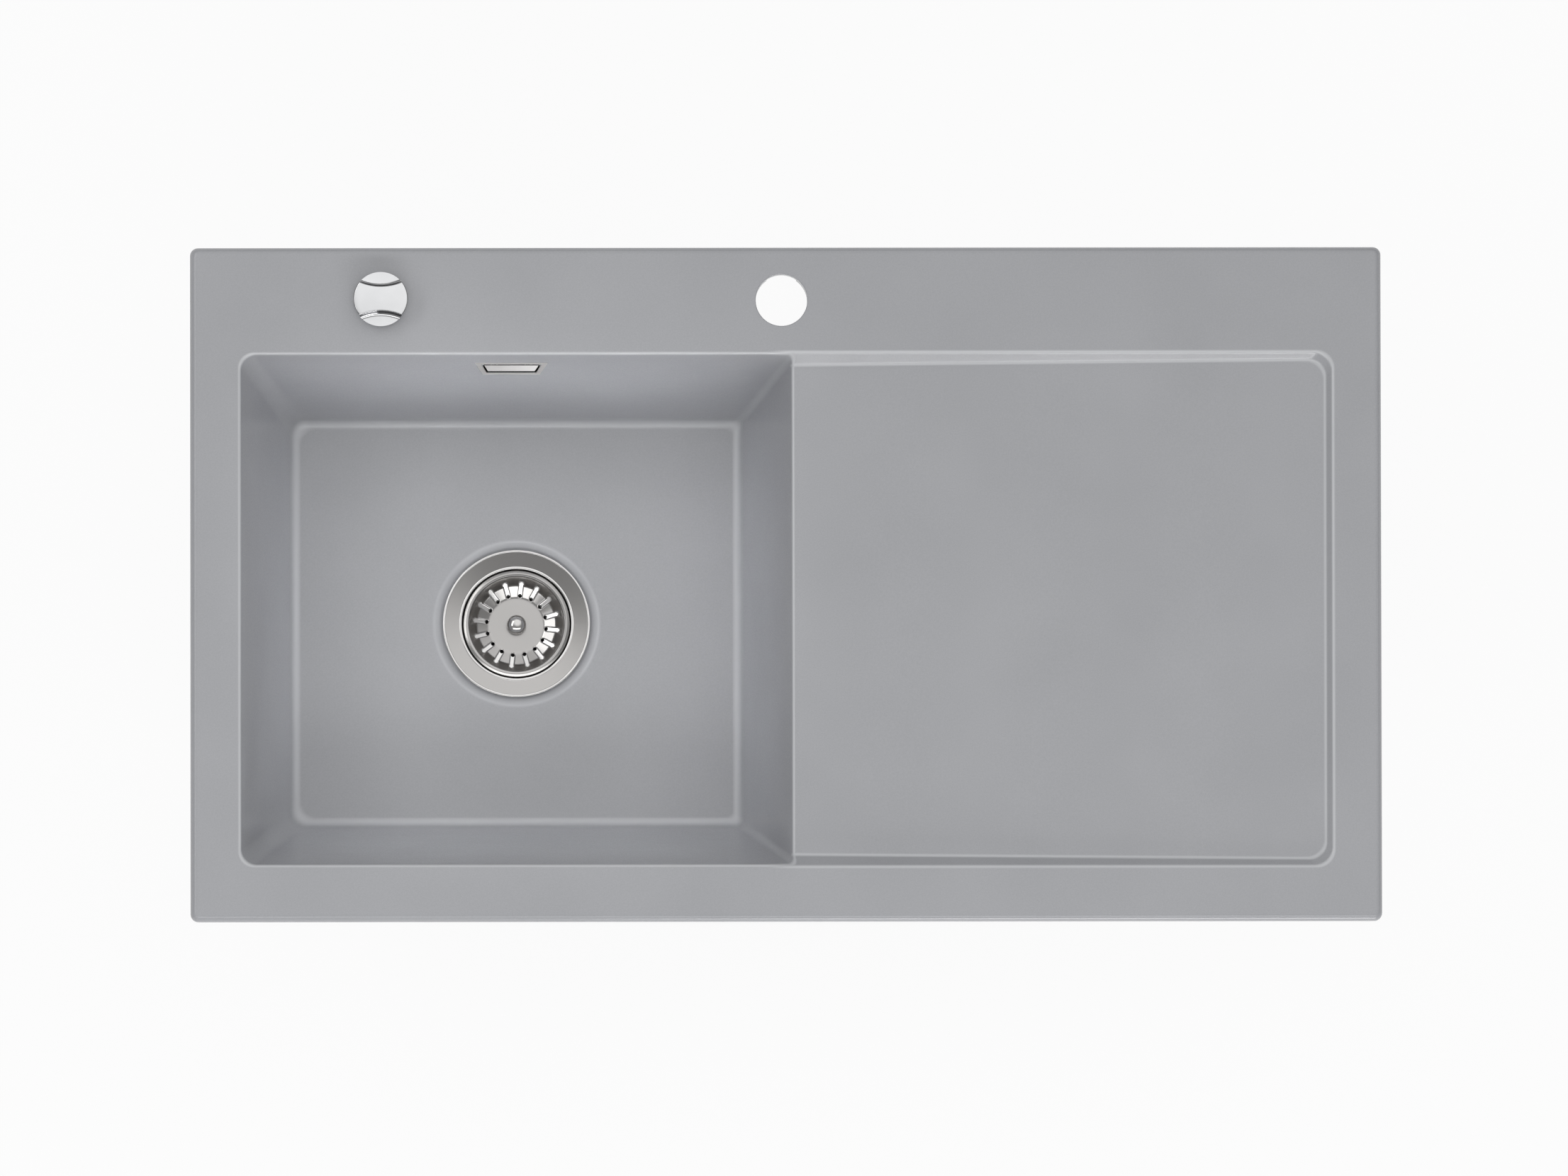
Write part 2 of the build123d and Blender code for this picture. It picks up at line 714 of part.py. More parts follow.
# Cable elbow: flanged guide tube that turns the push from level to upright
with BuildPart() as cable_elbow:
    with BuildLine() as elbow_line:
        FilletPolyline(
            (drain_x, drain_y, floor_z + boss_bottom), elbow_turn, elbow_end, radius=elbow_bend
        )
    elbow_path = elbow_line.wires()[0]
    ring(drain, 0, boss_radius - free_gap, boss_bottom - elbow_flange, boss_bottom)
    for elbow_size, elbow_mode in ((elbow_radius, Mode.ADD), (elbow_bore, Mode.SUBTRACT)):
        with BuildSketch(Plane((drain_x, drain_y, floor_z + boss_bottom))) as elbow_section:
            Circle(elbow_size)
        sweep(elbow_section.sketch, path=elbow_path, mode=elbow_mode)
cable_elbow.part.label = "cable_elbow"
export_step(cable_elbow.part, "parts/cable_elbow.step")

# Gland nut that holds the elbow flange and the pin seal to the boss
with BuildPart() as gland_nut:
    gland_low = boss_bottom - elbow_flange - gland_lip
    with BuildSketch(Plane((drain_x, drain_y, floor_z + gland_low))):
        RegularPolygon(boss_radius + gland_wall, gland_sides)
    extrude(amount=gland_lip + elbow_flange + gland_engagement)
    ring(
        drain,
        0,
        boss_radius + fixing_gap,
        boss_bottom - elbow_flange,
        boss_bottom + gland_engagement,
        mode=Mode.SUBTRACT,
    )
    ring(drain, 0, elbow_radius + free_gap, gland_low, boss_bottom, mode=Mode.SUBTRACT)
gland_nut.part.label = "gland_nut"
export_step(gland_nut.part, "parts/gland_nut.step")

# Lower ferrule: sleeve that joins the sheath to the elbow
with BuildPart() as ferrule_lower:
    sleeve_start = elbow_end - elbow_way * lower_sleeve_cover
    bar(sleeve_start, elbow_way, lower_sleeve_radius, lower_sleeve_cover + lower_sleeve_length)
    chamfer(ferrule_lower.edges().filter_by(GeomType.CIRCLE), edge_chamfer)
    bar(sleeve_start, elbow_way, elbow_radius + fixing_gap, lower_sleeve_cover, mode=Mode.SUBTRACT)
    bar(elbow_end, elbow_way, sheath_radius + fixing_gap, lower_sleeve_length, mode=Mode.SUBTRACT)
ferrule_lower.part.label = "ferrule_lower"
export_step(ferrule_lower.part, "parts/ferrule_lower.step")

# Cable sheath from the elbow, under and behind the bowl, up to the case
with BuildPart() as cable_sheath:
    with BuildLine() as sheath_line:
        FilletPolyline(elbow_end, drop_low, drop_top, sheath_top, radius=[lower_bend, upper_bend])
    sheath_path = sheath_line.wires()[0]
    for sheath_size, sheath_mode in ((sheath_radius, Mode.ADD), (sheath_bore, Mode.SUBTRACT)):
        with BuildSketch(Plane(origin=elbow_end, z_dir=elbow_way)) as sheath_section:
            Circle(sheath_size)
        sweep(sheath_section.sketch, path=sheath_path, mode=sheath_mode)
cable_sheath.part.label = "cable_sheath"
export_step(cable_sheath.part, "parts/cable_sheath.step")

# Upper ferrule: barrel through the case wall, flange and sleeve for the sheath
with BuildPart() as ferrule_upper:
    case_left = control_x - case_half_length
    flange_end = case_left - ferrule_flange_length
    bar((case_left, wire_y, wire_z), (1, 0, 0), ferrule_barrel_radius, case_wall)
    with BuildSketch(Plane(origin=(case_left, wire_y, wire_z), z_dir=(-1, 0, 0))):
        RegularPolygon(ferrule_flange_radius, hexagon_sides)
    extrude(amount=ferrule_flange_length)
    bar((flange_end, wire_y, wire_z), (-1, 0, 0), ferrule_sleeve_radius, ferrule_sleeve_length)
    bar(
        (case_left + case_wall, wire_y, wire_z),
        (-1, 0, 0),
        ferrule_throat,
        case_wall + sheath_entry,
        mode=Mode.SUBTRACT,
    )
    bar(sheath_top, (-1, 0, 0), sheath_radius + fixing_gap, upper_run, mode=Mode.SUBTRACT)
ferrule_upper.part.label = "ferrule_upper"
export_step(ferrule_upper.part, "parts/ferrule_upper.step")

# Strainer basket: rolled rim, steep wall, slotted cone and flat disc
with BuildPart() as strainer_basket:
    turned(
        drain,
        (
            (stud_radius + fixing_gap, -basket_disc_drop),
            (basket_disc_radius, -basket_disc_drop),
            (basket_cone_radius, -basket_cone_drop),
            (basket_mouth_radius, basket_rim_rise - basket_rim_drop),
            (basket_rim_radius, -basket_rim_drop),
            (basket_rim_radius, -basket_rim_drop - basket_sheet),
            (basket_mouth_radius + basket_sheet, basket_rim_rise - basket_rim_drop - basket_sheet),
            (basket_cone_radius + basket_sheet, -basket_cone_drop - basket_sheet / 2),
            (basket_disc_radius, -basket_disc_drop - basket_sheet),
            (stud_radius + fixing_gap, -basket_disc_drop - basket_sheet),
        ),
        rounding=basket_rounding,
    )
    slot_length = slot_outer_radius - slot_inner_radius
    slot_middle = (slot_outer_radius + slot_inner_radius) / 2
    with BuildSketch(Plane((drain_x, drain_y, floor_z - basket_disc_drop - 2 * basket_sheet))):
        with PolarLocations(slot_middle, slot_count, slot_start_angle):
            SlotOverall(slot_length, slot_width)
    extrude(amount=basket_disc_drop - basket_cone_drop + 2 * basket_sheet, mode=Mode.SUBTRACT)
strainer_basket.part.label = "strainer_basket"
export_step(strainer_basket.part, "parts/strainer_basket.step")

# Basket knob: ball, stem and the stud through the disc
with BuildPart() as basket_knob:
    with Locations((drain_x, drain_y, floor_z - basket_disc_drop + ball_lift)):
        Sphere(ball_radius)
    ring(drain, 0, ball_stem_radius, -basket_disc_drop, ball_lift - basket_disc_drop)
    ring(drain, 0, stud_radius, -basket_disc_drop - stud_length, -basket_disc_drop)
basket_knob.part.label = "basket_knob"
export_step(basket_knob.part, "parts/basket_knob.step")

# Basket seal: rubber plate with a lip that closes on the cup seat
with BuildPart() as basket_seal:
    seal_top = -basket_disc_drop - basket_sheet
    lip_low = seat_level + free_gap
    turned(
        drain,
        (
            (stud_radius + fixing_gap, seal_top),
            (rubber_plate_radius, seal_top),
            (rubber_lip_radius, lip_low + rubber_lip_height),
            (rubber_lip_radius, lip_low),
            (rubber_lip_radius - rubber_lip_width, lip_low),
            (rubber_plate_radius - edge_chamfer, seal_top - rubber_plate),
            (stud_radius + fixing_gap, seal_top - rubber_plate),
        ),
    )
basket_seal.part.label = "basket_seal"
export_step(basket_seal.part, "parts/basket_seal.step")

# Seal retainer: nut plate on the stud, with the boss the lift pin pushes
with BuildPart() as seal_retainer:
    retainer_top = seal_top - rubber_plate
    ring(drain, 0, retainer_radius, retainer_top - retainer_height, retainer_top)
    ring(drain, 0, retainer_boss_radius, seat_level + free_gap, retainer_top - retainer_height)
    ring(
        drain,
        0,
        stud_radius + fixing_gap,
        -basket_disc_drop - stud_length,
        retainer_top,
        mode=Mode.SUBTRACT,
    )
seal_retainer.part.label = "seal_retainer"
export_step(seal_retainer.part, "parts/seal_retainer.step")

# Control shank: rosette flange, shank through the ledge and the stud that enters the case
with BuildPart() as control_shank:
    ring(control, spindle_bore, rosette_radius, rim_height + rosette_seal, rosette_top)
    fillet(control_shank.faces().sort_by(Axis.Z)[-1].outer_wire().edges(), edge_chamfer)
    ring(control, spindle_bore, shank_radius, -shank_reach, rim_height + rosette_seal)
    ring(control, spindle_bore, shank_stud_radius, case_ceiling, -shank_reach)
control_shank.part.label = "control_shank"
export_step(control_shank.part, "parts/control_shank.step")

# Control gasket between the rosette and the ledge
with BuildPart() as control_gasket:
    ring(control, shank_radius + free_gap, rosette_radius - free_gap, rim_height, rim_height + rosette_seal)
control_gasket.part.label = "control_gasket"
export_step(control_gasket.part, "parts/control_gasket.step")

# Control washer under the ledge
with BuildPart() as control_washer:
    ring(control, shank_radius + free_gap, washer_radius, -skirt_drop - washer_height, -skirt_drop)
control_washer.part.label = "control_washer"
export_step(control_washer.part, "parts/control_washer.step")

# Control nut that clamps the ledge
with BuildPart() as control_nut:
    nut_top = -skirt_drop - washer_height
    with BuildSketch(Plane((control_x, ledge_y, nut_top))):
        RegularPolygon(nut_across_flats / 2, hexagon_sides, major_radius=False)
        Circle(shank_radius + fixing_gap, mode=Mode.SUBTRACT)
    extrude(amount=-nut_height)
control_nut.part.label = "control_nut"
export_step(control_nut.part, "parts/control_nut.step")

# Control knob: round base and a waisted grip across it
with BuildPart() as control_knob:
    ring(control, 0, knob_radius, knob_low, knob_step)
    fillet(control_knob.faces().sort_by(Axis.Z)[-1].edges(), knob_edge_round)
    with BuildSketch(Plane((control_x, ledge_y, knob_step))):
        Circle(knob_grip_radius - knob_edge_round)
        with Locations((0, knob_waist + knob_waist_sweep), (0, -knob_waist - knob_waist_sweep)):
            Circle(knob_waist_sweep, mode=Mode.SUBTRACT)
    extrude(amount=knob_grip_height, taper=knob_grip_taper)
    fillet(control_knob.faces().sort_by(Axis.Z)[-1].edges(), knob_edge_round)
    ring(control, 0, spindle_radius + fixing_gap, knob_low, spindle_top, mode=Mode.SUBTRACT)
    bar((control_x, ledge_y, grub_z), (0, 1, 0), grub_radius + fixing_gap, knob_radius, mode=Mode.SUBTRACT)
control_knob.part.label = "control_knob"
export_step(control_knob.part, "parts/control_knob.step")

# Grub screw that fixes the knob to its spindle
with BuildPart() as grub_screw:
    bar((control_x, ledge_y + spindle_radius + fixing_gap, grub_z), (0, 1, 0), grub_radius, grub_length)
grub_screw.part.label = "grub_screw"
export_step(grub_screw.part, "parts/grub_screw.step")

# Knob spindle with the groove for its clip
with BuildPart() as knob_spindle:
    ring(control, 0, spindle_radius, spindle_low, spindle_top)
    ring(
        control,
        spindle_radius - clip_groove,
        spindle_radius + clip_groove,
        clip_top - clip_height,
        clip_top,
        mode=Mode.SUBTRACT,
    )
knob_spindle.part.label = "knob_spindle"
export_step(knob_spindle.part, "parts/knob_spindle.step")

# Spindle clip below the case
with BuildPart() as spindle_clip:
    ring(control, spindle_radius - clip_groove + fixing_gap, clip_radius, clip_top - clip_height, clip_top)
    with BuildSketch(Plane((control_x, ledge_y + clip_radius, clip_top))):
        Rectangle(spindle_radius, 2 * clip_radius)
    extrude(amount=-clip_height, mode=Mode.SUBTRACT)
spindle_clip.part.label = "spindle_clip"
export_step(spindle_clip.part, "parts/spindle_clip.step")


def flank_angle(radius):
    """Half the angle that a pinion tooth takes up at a radius."""
    base_radius = pitch_radius * cos(radians(pressure_angle))
    run_out = sqrt(max((radius / base_radius) ** 2 - 1, 0))
    pitch_share = (rack_pitch / 2 - tooth_thinning) / (2 * pitch_radius)
    pitch_roll = tan(radians(pressure_angle)) - radians(pressure_angle)
    return pitch_share + pitch_roll - (run_out - atan(run_out))


# Drive pinion: involute teeth, a space facing the rack at rest
with BuildPart() as drive_pinion:
    root_radius = pitch_radius - tooth_dedendum
    tip_radius = pitch_radius + tooth_addendum
    base_start = max(root_radius, pitch_radius * cos(radians(pressure_angle)))
    pinion_points = []
    for tooth in range(tooth_count):
        middle = (tooth + 0.5) * 2 * pi / tooth_count - pi / 2
        flank = [(root_radius, flank_angle(base_start))]
        for step in range(flank_steps + 1):
            radius = base_start + (tip_radius - base_start) * step / flank_steps
            flank.append((radius, flank_angle(radius)))
        for radius, half in flank:
            pinion_points.append((radius * cos(middle - half), radius * sin(middle - half)))
        for radius, half in reversed(flank):
            pinion_points.append((radius * cos(middle + half), radius * sin(middle + half)))
    pinion_low = rack_low + (rack_height - gear_face) / 2
    with BuildSketch(Plane((control_x, ledge_y, pinion_low))):
        Polygon(*pinion_points, align=None)
        Circle(spindle_radius + fixing_gap, mode=Mode.SUBTRACT)
    extrude(amount=gear_face)
drive_pinion.part.label = "drive_pinion"
export_step(drive_pinion.part, "parts/drive_pinion.step")

# Drive rack with the wire that it pushes
with BuildPart() as drive_rack:
    root_line = -pitch_radius - tooth_dedendum
    tip_line = -pitch_radius + tooth_addendum
    flank_run = tan(radians(pressure_angle))
    root_half = (rack_pitch / 2 - tooth_thinning) / 2 + tooth_dedendum * flank_run
    tip_half = (rack_pitch / 2 - tooth_thinning) / 2 - tooth_addendum * flank_run
    rack_right = rack_length - rack_left
    rack_points = [(-rack_left, -rack_back), (rack_right, -rack_back), (rack_right, root_line)]
    first_tooth = -int((rack_left - root_half) / rack_pitch)
    last_tooth = int((rack_right - root_half) / rack_pitch)
    for tooth in range(last_tooth, first_tooth - 1, -1):
        middle = tooth * rack_pitch
        rack_points.append((middle + root_half, root_line))
        rack_points.append((middle + tip_half, tip_line))
        rack_points.append((middle - tip_half, tip_line))
        rack_points.append((middle - root_half, root_line))
    rack_points.append((-rack_left, root_line))
    with BuildSketch(Plane((control_x, ledge_y, rack_low))):
        Polygon(*rack_points, align=None)
    extrude(amount=rack_height)
    bar((control_x - rack_left, wire_y, wire_z), (-1, 0, 0), wire_radius, wire_length)
drive_rack.part.label = "drive_rack"
export_step(drive_rack.part, "parts/drive_rack.step")


def case_outline():
    """Draw the case outline with its two screw lugs in the current sketch."""
    with Locations((0, (case_rear - case_front) / 2)):
        RectangleRounded(2 * case_half_length, case_front + case_rear, case_corner)
    with Locations((-lug_reach, lug_rear), (lug_reach, lug_rear)):
        Circle(lug_radius)


# Mechanism case: open below, with a hole for the shank stud and one for the ferrule
with BuildPart() as mechanism_case:
    with BuildSketch(Plane((control_x, ledge_y, case_floor))):
        case_outline()
    extrude(amount=-shank_reach - case_floor)
    with BuildSketch(Plane((control_x, ledge_y, case_floor))):
        with Locations((0, (case_rear - case_front) / 2)):
            Rectangle(2 * case_half_length - 2 * case_wall, case_front + case_rear - 2 * case_wall)
    extrude(amount=case_ceiling - case_floor, mode=Mode.SUBTRACT)
    ring(control, 0, shank_stud_radius + fixing_gap, case_ceiling, -shank_reach, mode=Mode.SUBTRACT)
    bar(
        (control_x - case_half_length, wire_y, wire_z),
        (1, 0, 0),
        ferrule_barrel_radius + fixing_gap,
        case_wall,
        mode=Mode.SUBTRACT,
    )
    with BuildSketch(Plane((control_x, ledge_y, case_floor))):
        with Locations((-lug_reach, lug_rear), (lug_reach, lug_rear)):
            Circle(lug_screw_radius + fixing_gap)
    extrude(amount=lug_screw_length - case_cover, mode=Mode.SUBTRACT)
mechanism_case.part.label = "mechanism_case"
export_step(mechanism_case.part, "parts/mechanism_case.step")

# Mechanism cover with the lower bearing of the spindle
with BuildPart() as mechanism_cover:
    with BuildSketch(Plane((control_x, ledge_y, case_bottom))):
        case_outline()
        Circle(spindle_bore, mode=Mode.SUBTRACT)
        with Locations((-lug_reach, lug_rear), (lug_reach, lug_rear)):
            Circle(lug_screw_radius + fixing_gap, mode=Mode.SUBTRACT)
    extrude(amount=case_cover)
mechanism_cover.part.label = "mechanism_cover"
export_step(mechanism_cover.part, "parts/mechanism_cover.step")

# Cover screws in the two lugs
with BuildPart() as cover_screws:
    for side in (-1, 1):
        lug = (control_x + side * lug_reach, ledge_y + lug_rear, case_bottom)
        ring(lug, 0, lug_screw_head, -lug_screw_head_height, 0)
        ring(lug, 0, lug_screw_radius, 0, lug_screw_length)
cover_screws.part.label = "cover_screws"
export_step(cover_screws.part, "parts/cover_screws.step")
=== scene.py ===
import json
import math

import bmesh
import bpy
import numpy as np
from mathutils import Matrix, Vector


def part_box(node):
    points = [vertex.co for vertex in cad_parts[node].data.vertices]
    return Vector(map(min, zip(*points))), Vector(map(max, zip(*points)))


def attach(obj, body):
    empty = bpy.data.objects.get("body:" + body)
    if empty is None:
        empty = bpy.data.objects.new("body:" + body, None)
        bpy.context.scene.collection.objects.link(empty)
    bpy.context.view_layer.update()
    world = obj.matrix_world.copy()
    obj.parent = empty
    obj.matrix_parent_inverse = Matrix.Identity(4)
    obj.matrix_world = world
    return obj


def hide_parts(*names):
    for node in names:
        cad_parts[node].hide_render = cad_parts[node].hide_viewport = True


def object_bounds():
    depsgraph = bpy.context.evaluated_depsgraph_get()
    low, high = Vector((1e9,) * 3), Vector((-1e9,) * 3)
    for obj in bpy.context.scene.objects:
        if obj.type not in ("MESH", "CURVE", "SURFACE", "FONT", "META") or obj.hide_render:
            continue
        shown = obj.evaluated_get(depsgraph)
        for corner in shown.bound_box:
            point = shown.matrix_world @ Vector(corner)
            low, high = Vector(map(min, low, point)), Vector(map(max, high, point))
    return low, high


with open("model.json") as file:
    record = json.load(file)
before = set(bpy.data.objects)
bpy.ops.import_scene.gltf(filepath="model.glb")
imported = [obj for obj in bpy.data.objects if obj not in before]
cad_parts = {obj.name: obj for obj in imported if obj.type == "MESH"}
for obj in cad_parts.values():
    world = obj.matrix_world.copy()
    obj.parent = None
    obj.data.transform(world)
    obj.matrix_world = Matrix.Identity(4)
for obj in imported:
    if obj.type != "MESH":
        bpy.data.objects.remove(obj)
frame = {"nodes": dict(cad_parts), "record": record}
cad_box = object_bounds()
nodes = frame["nodes"]
scene = bpy.context.scene
scene.view_settings.view_transform = "Standard"

# Ceramic sink: bowl, drainer, tap ledge and rim in one slip-cast body, dipped in a satin grey glaze and
# fired. It lies on the worktop by the underside of its rim. Every edge is soft, because the wet casting is
# sponged and the glaze runs. The shape of the upper side is a height over each point of the plan.
MM = 0.001
body_low, body_high = (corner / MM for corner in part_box("sink_body"))
rim_z = body_high.z
shell_z = body_low.z
bowl_left, bowl_right, bowl_front, bowl_rear = -412.0, 7.0, -212.0, 174.0
tray_right = 412.0
floor_z = -173.0
plan_corner, bowl_left_corner, bowl_right_corner = 14.0, 12.0, 5.0
bowl_edge = {"angle": math.radians(78), "lip": 2.6, "foot": 8.0}
tray_edge = {"angle": math.radians(48), "lip": 4.0, "foot": 4.0}
tray_near, tray_far = 10.0, 6.0
tray_fade_start, tray_fade_end = bowl_right - 24, bowl_right - 3
# Strength of the painted highlight in the hollows at the feet and round the drain's dish.
foot_highlight, dish_highlight = 0.8, 0.7


def edge_limits(depth, angle, lip, foot):
    """Distances past an edge's upper line where its round lip and its round foot start and end."""
    half = math.tan(angle / 2)
    lip_start, foot_end = -lip * half, depth / math.tan(angle) + foot * half
    return lip_start, lip_start + lip * math.sin(angle), foot_end - foot * math.sin(angle), foot_end


def edge_drop(distance, depth, angle, lip, foot):
    """Fall of an edge, a distance past its upper line: round lip, slope, round foot and floor."""
    lip_start, lip_end, foot_start, foot_end = edge_limits(depth, angle, lip, foot)
    lip_arc = lip - np.sqrt(np.maximum(lip**2 - (distance - lip_start) ** 2, 0))
    foot_arc = depth - foot + np.sqrt(np.maximum(foot**2 - (foot_end - distance) ** 2, 0))
    return np.select(
        [distance < lip_start, distance < lip_end, distance < foot_start, distance < foot_end],
        [0 * distance, lip_arc, distance * math.tan(angle), foot_arc],
        depth,
    )


def round_corner(along, across, radius):
    """Distance from two walls that meet in a corner of one radius at every depth."""
    arc = (along + across + np.sqrt(np.maximum(2 * radius**2 - (along - across) ** 2, 0))) / 2 - radius
    return np.where(np.abs(along - across) < radius, arc, np.minimum(along, across))


def edge_share(distance, depth, angle, lip, foot):
    """How far a point is into the round of a lip or foot: 0 at its ends and 1 in its middle."""
    lip_start, lip_end, foot_start, foot_end = edge_limits(depth, angle, lip, foot)
    places = (distance - lip_start) / (lip_end - lip_start), (distance - foot_start) / (foot_end - foot_start)
    lip_share, foot_share = (np.sin(np.pi * np.clip(place, 0, 1)) for place in places)
    return np.maximum(lip_share, foot_highlight * foot_share)


def sink_edges(x, y):
    """Height of the top, the drainer's share in it, and distance and depth past drainer's and bowl's edge."""
    side = np.minimum(y - bowl_front, bowl_rear - y)
    lead = math.tan(bowl_edge["angle"] / 2) - math.tan(tray_edge["angle"] / 2)
    tray_distance = round_corner(tray_right - x, side, plan_corner) + tray_edge["lip"] * lead
    tray_share = np.clip((x - bowl_right) / (tray_right - bowl_right), 0, 1)
    tray_depth = tray_near + (tray_far - tray_near) * tray_share
    fade = np.clip((x - tray_fade_start) / (tray_fade_end - tray_fade_start), 0, 1)
    fade = fade * fade * (3 - 2 * fade)
    top = rim_z - fade * edge_drop(tray_distance, tray_depth, **tray_edge)
    bowl_corner = np.where(2 * x > bowl_left + bowl_right, bowl_right_corner, bowl_left_corner)
    bowl_distance = round_corner(np.minimum(x - bowl_left, bowl_right - x), side, bowl_corner)
    bowl_distance = bowl_distance - (rim_z - top) / math.tan(bowl_edge["angle"])
    return top, fade, (tray_distance, tray_depth), (bowl_distance, top - floor_z)


def upper_side(x, y):
    """Height of the sink's upper side: the drainer is let into the rim, and the bowl into both."""
    top, _, _, bowl = sink_edges(x, y)
    return top - edge_drop(*bowl, **bowl_edge)


def ruled_lines(stops):
    """Positions from stop to stop, each stretch divided by the step that its first stop names."""
    lines = [stops[0][0]]
    for (start, step), (end, _) in zip(stops, stops[1:]):
        count = math.ceil((end - start) / step)
        lines.extend(start + (end - start) * (k + 1) / count for k in range(count))
    return np.array(lines)


def even_steps(count, end=math.pi / 2):
    """Values from 0 to an end, a quarter turn unless another is named."""
    return [k / count * end for k in range(count + 1)]


def rounded_ring(low, high, radius, steps):
    """Plan points of a rectangle with round corners, counter-clockwise."""
    ring = []
    for quarter, (right, rear) in enumerate(((1, 1), (0, 1), (0, 0), (1, 0))):
        middle_x = high[0] - radius if right else low[0] + radius
        middle_y = high[1] - radius if rear else low[1] + radius
        for bend in even_steps(steps):
            turn = quarter * math.pi / 2 + bend
            ring.append((middle_x + radius * math.cos(turn), middle_y + radius * math.sin(turn)))
    return ring


def new_piece(name, points, faces, smooth_angle=35):
    """Make a piece from points in millimetres, its faces smooth except across sharp edges."""
    mesh = bpy.data.meshes.new(name)
    mesh.from_pydata([Vector(point) * MM for point in points], [], faces)
    mesh.update()
    mesh.shade_smooth()
    mesh.set_sharp_from_angle(angle=math.radians(smooth_angle))
    piece = bpy.data.objects.new(name, mesh)
    scene.collection.objects.link(piece)
    return piece


def loop_faces(count, size, first=0):
    """Faces between loops of points that follow each other, with a face at each end."""
    faces = [tuple(reversed(range(first, first + size)))]
    for loop in range(count - 1):
        low, high = first + loop * size, first + (loop + 1) * size
        for k in range(size):
            after = (k + 1) % size
            faces.append((low + k, low + after, high + after, high + k))
    faces.append(tuple(range(first + (count - 1) * size, first + count * size)))
    return faces


def looped_piece(name, loops, closed=False):
    """Make a piece of loops of corners, joined in turn: a bar with a face at each end, or a closed ring."""
    points = [point for loop in loops for point in loop]
    faces = loop_faces(len(loops), len(loops[0]))
    if closed:
        round_trip = loop_faces(len(loops) + 1, len(loops[0]))[1:-1]
        faces = [[k % len(points) for k in face] for face in round_trip]
    return new_piece(name, points, faces, 20)


def on_circle(centre, radius, turn, height):
    """Point on a level circle."""
    return centre[0] + radius * math.cos(turn), centre[1] + radius * math.sin(turn), height


def turned_piece(name, outline, centre, segments=96):
    """Make a piece turned about an upright axis from an outline of radius and height."""
    points, rows, faces = [], [], []
    for radius, height in outline:
        count = segments if radius > 0 else 1
        rows.append([len(points) + k for k in range(count)])
        for k in range(count):
            points.append(on_circle(centre, radius, 2 * math.pi * k / count, height))
    for row, after in zip(rows, rows[1:]):
        for k in range(segments):
            corners = [row[k % len(row)], row[(k + 1) % len(row)]]
            corners += [after[(k + 1) % len(after)], after[k % len(after)]]
            corners = list(dict.fromkeys(corners))
            if len(corners) > 2:
                faces.append(corners)
    return new_piece(name, points, faces)


edge_inset, edge_round, foot_round = 6.0, 5.0, 1.2
fine, middling, coarse = 0.5, 1.25, 7.0
lip_band, corner_band, wall_band = 5.0, 17.0, 62.0
x_limit, y_limit = body_high.x - edge_inset, body_high.y - edge_inset


def bowl_stops(near, far):
    """Stops that draw the lines together over the bowl's lip and wall on its near and far side."""
    stops = [(near - lip_band, fine), (near + corner_band, middling), (near + wall_band, coarse)]
    return stops + [(far - wall_band, middling), (far - corner_band, fine), (far + lip_band, coarse)]


x_stops = bowl_stops(bowl_left, bowl_right)
x_stops += [(tray_right - corner_band, fine), (tray_right + lip_band, coarse)]
x_lines = ruled_lines([(-x_limit, coarse), *x_stops, (x_limit, coarse)])
y_lines = ruled_lines([(-y_limit, coarse), *bowl_stops(bowl_front, bowl_rear), (y_limit, coarse)])
grid_x, grid_y = np.meshgrid(x_lines, y_lines)
grid_z = upper_side(grid_x, grid_y)
points = list(zip(grid_x.ravel(), grid_y.ravel(), grid_z.ravel()))
columns, rows = len(x_lines), len(y_lines)
faces = []
for row in range(rows - 1):
    for column in range(columns - 1):
        corner = row * columns + column
        faces.append((corner, corner + 1, corner + columns + 1, corner + columns))

# The rim's edge goes round the outline: each point of the border keeps its place and the way it faces.
border = []
sides = (
    [(0, column) for column in range(columns)],
    [(row, columns - 1) for row in range(rows)],
    [(rows - 1, column) for column in reversed(range(columns))],
    [(row, 0) for row in reversed(range(rows))],
)
fan = 6
for quarter, side in enumerate(sides):
    facing = (quarter - 1) * math.pi / 2
    for row, column in side[:-1]:
        border.append((row * columns + column, facing))
    last_row, last_column = side[-1]
    for k in range(fan):
        border.append((last_row * columns + last_column, facing + k / fan * math.pi / 2))


def add_ring(before, plan, height):
    """Add a ring of points at one height, joined to the ring before it, if there is one."""
    ring = list(range(len(points), len(points) + len(plan)))
    points.extend((x, y, height) for x, y in plan)
    for k in range(len(before)):
        corners = (before[k - 1], ring[k - 1], ring[k], before[k])
        faces.append(tuple(dict.fromkeys(corners)))
    return ring


def border_plan(offset):
    """Plan of the border moved outwards."""
    plan = []
    for index, facing in border:
        x, y, _ = points[index]
        plan.append((x + offset * math.cos(facing), y + offset * math.sin(facing)))
    return plan


def skirt_plan(inset, radius):
    """Plan of a rounded rectangle inside the outline, one point for each point of the border."""
    limit_x, limit_y = body_high.x - inset - radius, body_high.y - inset - radius
    plan = []
    for x, y in border_plan(edge_inset):
        middle = Vector((max(-limit_x, min(limit_x, x)), max(-limit_y, min(limit_y, y))))
        plan.append(middle + (Vector((x, y)) - middle).normalized() * radius)
    return plan


